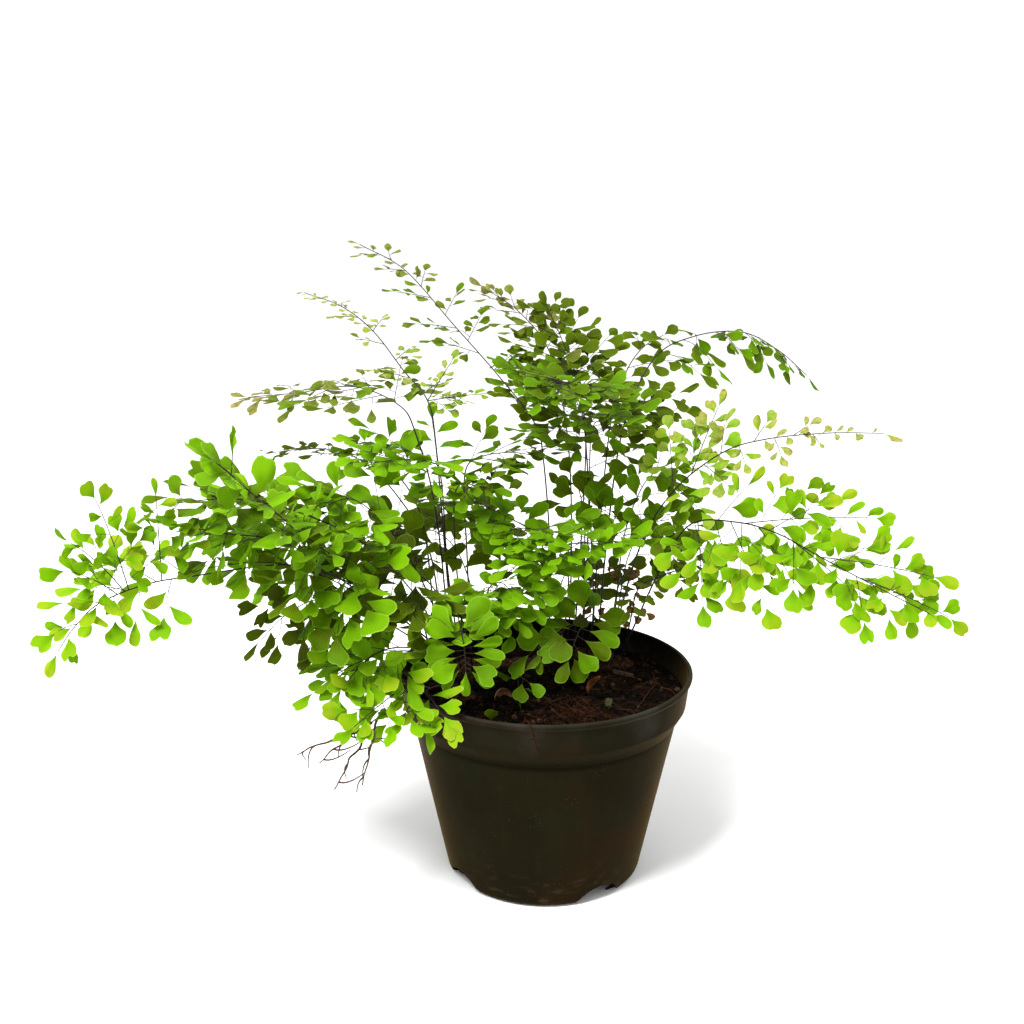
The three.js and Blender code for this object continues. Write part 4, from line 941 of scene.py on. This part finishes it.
class FernStemSettings(bpy.types.PropertyGroup):
    """The wiry stalks."""

    colour: colour_setting("Colour", "The thick part of the stalks", (0.0085, 0.0045, 0.0032))
    thin_colour: colour_setting("Thin colour", "The thinnest stalks", (0.030, 0.018, 0.012))


class FernStageSettings(bpy.types.PropertyGroup):
    """The floor, the lights and the camera."""

    floor_colour: colour_setting("Floor colour", "The floor", (0.93, 0.93, 0.93))
    floor_size: number_setting("Floor size", "Side of the floor", 80.0, unit="LENGTH")
    ambient: number_setting("Ambient", "Strength of the even white light", 1.08, min=0)
    key: number_setting("Key", "Power of the large soft lamp", 46.0, min=0, unit="POWER")
    lens: number_setting("Lens", "Focal length", 47.46, unit="CAMERA")
    camera: setting(
        bpy.props.FloatVectorProperty, "Camera", "Where the camera stands", (-0.0165, -0.6445, 0.3595), size=3,
        subtype="TRANSLATION", unit="LENGTH",
    )
    pitch: number_setting(
        "Pitch", "How far the camera looks down", math.radians(14.8), subtype="ANGLE", unit="ROTATION"
    )


# --- Operators ------------------------------------------------------------------------------------------------------


class FERN_OT_pot(bpy.types.Operator):
    """Turn the nursery pot and cut its drainage notches"""

    bl_idname = "fern.pot"
    bl_label = "Pot"

    def profile(self):
        """The wall's outline from the middle of the underside, out and up to the lip, and back down inside."""
        return [
            (0, 0), (17.4, 0), (18.1, 0.6), (20, 9), (50.1, 9), (49.5, 5.4),
            *arc(46, 4.5, 3.3, -6, -90, 4),
            (45.2, 1.2), (45.2, 0),
            *arc(46, 4.5, 4.5, -90, -12),
            (59.2, 45),
            *arc(70.28, 82.68, 3, 168, 149.5, 3),
            *arc(70.04, 92.1, 2, -30.5, -7.6, 4),
            (73.6, 104.6),
            *arc(73.9, 106.6, 1.1, -45, 0, 3),
            *arc(73.9, 106.9, 1.1, 0, 90, 4),
            *arc(73.4, 107.2, 0.8, 95, 175, 3),
            (71.6, 94.6), (70.9, 91.9), (67.9, 86.4), (66.3, 84.6),
            (58.0, 45), (51.1, 12.6), (50.2, 10.8), (48.4, 10.2),
            (18.8, 10.2), (16.8, 1.2), (0, 1.2),
        ]

    def cutters(self):
        """Four lying cylinders that cut the arched notches out of the foot ring."""
        bm = bmesh.new()
        radius, length, out, down, first = 15 * MM, 12 * MM, 50.5 * MM, -6.5 * MM, -57
        for k in range(4):
            turn = Matrix.Rotation(math.radians(first + 90 * k), 4, "Z")
            place = turn @ Matrix.Translation((out, 0, down)) @ Matrix.Rotation(math.pi / 2, 4, "Y")
            bmesh.ops.create_cone(
                bm, cap_ends=True, segments=64, radius1=radius, radius2=radius, depth=length, matrix=place
            )
        return to_mesh(bm)

    def execute(self, context):
        cutter = add("cutters", self.cutters())
        cut = {"object": cutter, "operation": "DIFFERENCE", "solver": "EXACT"}
        shell = with_modifiers(to_mesh(spun(self.profile(), 192)), ("BOOLEAN", cut))
        bpy.data.objects.remove(cutter)
        finish_piece("pot_shell", closed(shell), pot_finish(context.scene.fern_pot), ["pot"], 32)
        return {"FINISHED"}


class FERN_OT_mix(bpy.types.Operator):
    """Fill the pot with potting mix, crumbs and fine rootlets"""

    bl_idname = "fern.mix"
    bl_label = "Potting mix"

    def body(self):
        """The root ball inside the pot's wall, its top in fine rings so that it can be uneven."""
        reach, rings = 72, 46
        top = [(reach * k / rings, 97) for k in range(rings)]
        profile = [
            (0, 1.6), (16.4, 1.6), (18.4, 10.6), (48, 10.6), (50.7, 12.9),
            (57.6, 45), (65.9, 84.8), (67.5, 86.8), (70.4, 92.2), (71.1, 95.2),
        ]
        bm = spun([*profile, *reversed(top)], 200)
        for vert in bm.verts:
            x, y, z = vert.co / MM
            if z > MIX_CUT:
                vert.co.z = mix_level(x, y) * MM
        return to_mesh(bm)

    def crumbs(self, count):
        bm = bmesh.new()
        values = []
        for i in range(count):
            radius = CRUMB_REACH * math.sqrt(chance(1.7, i))
            angle = math.tau * chance(2.9, i)
            x, y = radius * math.cos(angle), radius * math.sin(angle)
            size = 0.5 + 1.5 * chance(4.1, i) ** 3
            spin = Euler([math.tau * chance(5.3 + k, i) for k in range(3)]).to_matrix().to_4x4()
            shape = Matrix.Diagonal((1, 0.55 + 0.5 * chance(6.1, i), 0.4 + 0.5 * chance(7.3, i), 1))
            place = Matrix.Translation(Vector((x, y, mix_level(x, y) + 0.15 * size)) * MM)
            made = bmesh.ops.create_icosphere(bm, subdivisions=1, radius=size * MM, matrix=place @ spin @ shape)
            shade = chance(8.9, i) ** 1.3 * 0.93 + (0.07 if chance(9.7, i) > 0.93 else 0)
            values.extend([shade, chance(10.1, i), 0, 1] * len(made["verts"]))
        return paint(to_mesh(bm), values)

    def rootlets(self, count):
        """Wandering threads. Every third one is in a mat at the front, more crooked and loose."""
        wires = []
        for i in range(count):
            matted = i % 3 == 0
            spread, bend, loose = (19, 2.6, 2.4) if matted else (64, 1.5, 1.1)
            middle = Vector((19, -43, 0)) if matted else Vector()
            radius = spread * math.sqrt(chance(11.3, i))
            angle = math.tau * chance(12.7, i)
            point = middle + Vector((radius * math.cos(angle), radius * math.sin(angle), 0))
            heading = math.tau * chance(13.1, i)
            points = []
            for k in range(9):
                heading += bend * swing(14.9 + i, k)
                point = point + Vector((math.cos(heading), math.sin(heading), 0)) * (0.9 + 1.9 * chance(15.7, i))
                if point.length < ROOTLET_REACH:
                    lift = 0.1 + loose * math.sin(math.pi * k / 8) * chance(16.3, i)
                    points.append(Vector((point.x, point.y, mix_level(point.x, point.y) + lift)))
            if len(points) > 4:
                thick = 0.09 + 0.17 * chance(17.9, i) ** 3
                wires.append((Path(points, 3).samples, thick, thick * 0.5, (chance(18.1, i), chance(19.3, i), 0, 1)))
        return closed(wires_mesh(wires, 0), 1e-8)

    def execute(self, context):
        mix = context.scene.fern_mix
        finish_piece("mix_body", self.body(), mix_finish(mix), ["potting_mix"], 60)
        finish_piece("mix_crumbs", self.crumbs(mix.crumbs), crumb_finish(mix), smooth=0)
        finish_piece("mix_rootlets", self.rootlets(mix.rootlets), root_finish(mix))
        return {"FINISHED"}


class FERN_OT_rhizome(bpy.types.Operator):
    """Grow the creeping rhizome with its scales"""

    bl_idname = "fern.rhizome"
    bl_label = "Rhizome"

    def knobs(self):
        bm = bmesh.new()
        for x, y, radius in RHIZOME:
            place = Matrix.Translation(Vector((x, y, KNOB_HEIGHT)) * MM)
            place = place @ Matrix.Diagonal((1, 1, KNOB_FLATNESS, 1))
            bmesh.ops.create_icosphere(bm, subdivisions=3, radius=radius * 0.98 * MM, matrix=place)
        return to_mesh(bm)

    def crown(self):
        """The knobs grown into one body with a rough skin."""
        crown = with_modifiers(self.knobs(), ("REMESH", {"mode": "VOXEL", "voxel_size": 0.0009}))
        for vert in crown.vertices:
            rough = noise.noise(vert.co / (3.1 * MM)) * 0.8 + noise.noise(vert.co / (1.2 * MM)) * 0.35
            vert.co += vert.normal * rough * MM
        return crown

    def scales(self):
        """Narrow papery scales that stand up on the knobs."""
        bm = bmesh.new()
        for n, (x, y, radius) in enumerate(RHIZOME):
            for seed in range(n * 50, n * 50 + 34):
                turn = math.tau * chance(21.1, seed)
                out = radius * (0.25 + 0.75 * chance(22.3, seed))
                dome = math.sqrt(max(1 - (out / radius) ** 2, 0))
                foot = Vector((x + out * math.cos(turn), y + out * math.sin(turn), 95.2 + radius * 0.57 * dome))
                lean = Euler((0.4 + 0.8 * chance(23.9, seed), 0, turn - math.pi / 2 + 1.2 * swing(24.1, seed)))
                length = 1.5 + 2.4 * chance(25.7, seed)
                place = Matrix.Translation(foot * MM) @ lean.to_matrix().to_4x4()
                place = place @ Matrix.Diagonal((0.22 * MM, 0.12 * MM, length * MM, 1))
                place = place @ Matrix.Translation((0, 0, 0.4))
                bmesh.ops.create_cone(bm, cap_ends=True, segments=5, radius1=1, radius2=0.1, depth=1, matrix=place)
        return to_mesh(bm)

    def execute(self, context):
        finish = rhizome_finish()
        finish_piece("rhizome_crown", self.crown(), finish, ["rhizome"], 70)
        finish_piece("rhizome_scales", self.scales(), finish)
        return {"FINISHED"}


class FERN_OT_fronds(bpy.types.Operator):
    """Grow every frond: its wiry stalks and its leaflets"""

    bl_idname = "fern.fronds"
    bl_label = "Fronds"

    def wires(self, growth):
        """The stalks, painted with how thin they are and whether the frond is dead."""
        dead = 1.0 if growth.tone == "withered" else 0.0
        rows = []
        for i, (points, thick, thin) in enumerate(growth.wires):
            fine = 1 - min(thick / 0.45, 1)
            rows.append((points, thick, thin, (fine, chance(growth.seed, 300 + i), dead, 1)))
        return wires_mesh(rows)

    def execute(self, context):
        leaf = context.scene.fern_leaf
        blade_finish = leaflet_finish(leaf)
        stalk_finish = wire_finish(context.scene.fern_stem)
        blades = [leaflet_blade(shape) for shape in LEAFLET_SHAPES]
        shrivelled = [leaflet_blade(shape, 4.5) for shape in LEAFLET_SHAPES[:4]]
        slots = {"gold": ("leaf_pale", blades), "withered": ("leaf_withered", shrivelled)}
        for number, frond in enumerate(FRONDS):
            growth = Growth(number, frond)
            slot, shapes = slots.get(growth.tone, ("leaf_green", blades))
            finish_piece(growth.name + "_wires", self.wires(growth), stalk_finish, [growth.name])
            if growth.leaflets:
                mesh = dressed(shapes, growth.leaflets, growth.tone, leaf.size)
                finish_piece(growth.name + "_leaflets", mesh, blade_finish, [growth.name], 180)
        return {"FINISHED"}


class FERN_OT_roots(bpy.types.Operator):
    """Lay the loose roots on the mix"""

    bl_idname = "fern.roots"
    bl_label = "Loose roots"

    def root(self, i, thick, thin, points):
        """A kinked root with short side roots."""
        samples = []
        for point in Path(points, 8).samples:
            kink = Vector([0.35 * noise.noise(point / 2.3 + Vector((0, 7 * axis, i))) for axis in range(3)])
            samples.append(point + kink)
        rows = [(samples, thick, thin, (chance(31, i), chance(32, i), 0, 1))]
        for k in range(3, len(samples) - 3, 4):
            turn = math.tau * chance(33 + i, k)
            reach = 2 + 4 * chance(34 + i, k)
            away = Vector((math.cos(turn), math.sin(turn), 0.25))
            side = [samples[k] + away * reach * u - UP * 0.6 * reach * u * u for u in (0, 0.33, 0.66, 1)]
            rows.append((side, 0.2, 0.1, (chance(35, k), chance(36, k), 0, 1)))
        return closed(wires_mesh(rows), 1e-8)

    def execute(self, context):
        finish = root_finish(context.scene.fern_mix)
        for i, row in enumerate(ROOTS):
            number = str(i + 1)
            finish_piece("loose_root_" + number, self.root(i, *row), finish, ["surface_root_" + number])
        return {"FINISHED"}


class FERN_OT_scraps(bpy.types.Operator):
    """Lay the dead leaf and the chips of bark on the mix, and the seedling beside the lip"""

    bl_idname = "fern.scraps"
    bl_label = "Dry scraps"

    def seedling(self):
        """A first leaf of a young fern."""
        base = Vector((-26.5, -49.5, 100))
        leaf = (base, Vector((0.05, -0.3, 0.95)).normalized(), Vector((0, -0.95, -0.3)).normalized(), 7.5, 2.0, 0)
        return dressed([leaflet_blade(SEEDLING_SHAPE)], [leaf], "mid", 0.85)

    def chip(self, x, y, turn, length, width, seed):
        """A split piece of bark."""
        place = Matrix.Translation(Vector((x, y, 99.4)) * MM) @ Matrix.Rotation(math.radians(turn), 4, "Z")
        bm = bmesh.new()
        bmesh.ops.create_cube(bm, size=1)
        bmesh.ops.subdivide_edges(bm, edges=bm.edges, cuts=4, use_grid_fill=True)
        for vert in bm.verts:
            rough = noise.noise(vert.co * 3 + Vector((seed, 0, 0)))
            vert.co.x *= 1 - 0.5 * abs(vert.co.y) ** 1.5
            vert.co += vert.co.normalized() * rough * 0.16
            vert.co = place @ (Vector((vert.co.x * length, vert.co.y * width, vert.co.z * min(width, 1.6))) * MM)
        return to_mesh(bm)

    def execute(self, context):
        blade_finish = bpy.data.materials["leaflet_blade"]
        # The dead leaf's colours: its own tan brown, made lighter as painted light where it lies in the rosette's
        # shade.
        dry = scrap_finish((0.150, 0.062, 0.030), (0.620, 0.330, 0.200))
        dead_leaf = curled(DEAD_LEAF_SHAPE, 2.0, (-23, -18, 98.5), 112, 20, 12, 0.0002)
        finish_piece("dead_leaf", dead_leaf, dry, ["dry_leaf_scrap"])
        finish_piece("seedling", self.seedling(), blade_finish)
        for i, (x, y, turn, length, width, dark, light) in enumerate(BARK):
            if i == 0:
                made = curled(SCROLL_SHAPE, 3, (x, y, 98.8), 40, turn, length, 0.0003)
            else:
                made = self.chip(x, y, turn, length, width, i * 3.3)
            number = str(i + 1)
            finish_piece("bark_" + number, made, scrap_finish(dark, light), ["bark_chip_" + number], 50)
        return {"FINISHED"}


class FERN_OT_stage(bpy.types.Operator):
    """Set the floor, the lights and the camera"""

    bl_idname = "fern.stage"
    bl_label = "Stage"

    def floor(self, stage):
        bm = bmesh.new()
        bmesh.ops.create_grid(bm, x_segments=8, y_segments=8, size=stage.floor_size / 2)
        mesh = to_mesh(bm, "floor")
        mesh.materials.append(floor_finish(stage))
        add("floor", mesh)

    def lamp(self, power, size, place, target):
        light = bpy.data.lights.new("key_lamp", "AREA")
        light.energy, light.size = power, size
        lamp = add("key_lamp", light)
        lamp.location = place
        lamp.rotation_euler = (Vector(target) - Vector(place)).to_track_quat("-Z", "Y").to_euler()

    def execute(self, context):
        scene = context.scene
        stage = scene.fern_stage
        self.floor(stage)
        self.lamp(stage.key, size=0.5, place=(-0.45, -0.6, 1.35), target=(0, 0, 0.16))
        scene.world = bpy.data.worlds.new("studio")
        scene.world.use_nodes = True
        light = scene.world.node_tree.nodes["Background"].inputs
        light["Color"].default_value = (1, 1, 1, 1)
        light["Strength"].default_value = stage.ambient
        camera = add("camera", bpy.data.cameras.new("camera"))
        camera.data.lens = stage.lens
        camera.data.sensor_width = 36
        camera.location = stage.camera
        camera.rotation_euler = (math.pi / 2 - stage.pitch, 0, 0)
        scene.camera = camera
        scene.view_settings.view_transform = "Standard"
        return {"FINISHED"}


STEPS = ["stage", "pot", "mix", "rhizome", "fronds", "roots", "scraps"]
GROUPS = {
    "fern_pot": FernPotSettings,
    "fern_mix": FernMixSettings,
    "fern_leaf": FernLeafSettings,
    "fern_stem": FernStemSettings,
    "fern_stage": FernStageSettings,
}


class FERN_PT_panel(bpy.types.Panel):
    """Everything that the fern is made of"""

    bl_idname = "FERN_PT_panel"
    bl_label = "Potted fern"
    bl_space_type = "VIEW_3D"
    bl_region_type = "UI"
    bl_category = "Fern"

    def draw(self, context):
        for step in STEPS:
            self.layout.operator("fern." + step)
        for group in GROUPS:
            settings = getattr(context.scene, group)
            box = self.layout.box()
            for name in settings.bl_rna.properties.keys()[2:]:
                box.prop(settings, name)


CLASSES = [
    *GROUPS.values(),
    FERN_OT_stage,
    FERN_OT_pot,
    FERN_OT_mix,
    FERN_OT_rhizome,
    FERN_OT_fronds,
    FERN_OT_roots,
    FERN_OT_scraps,
    FERN_PT_panel,
]


def register():
    for cls in CLASSES:
        bpy.utils.register_class(cls)
    for name, cls in GROUPS.items():
        setattr(bpy.types.Scene, name, bpy.props.PointerProperty(type=cls))


def unregister():
    for name in GROUPS:
        delattr(bpy.types.Scene, name)
    for cls in reversed(CLASSES):
        bpy.utils.unregister_class(cls)


def main():
    register()
    for step in STEPS:
        getattr(bpy.ops.fern, step)()


if __name__ == "__main__":
    main()
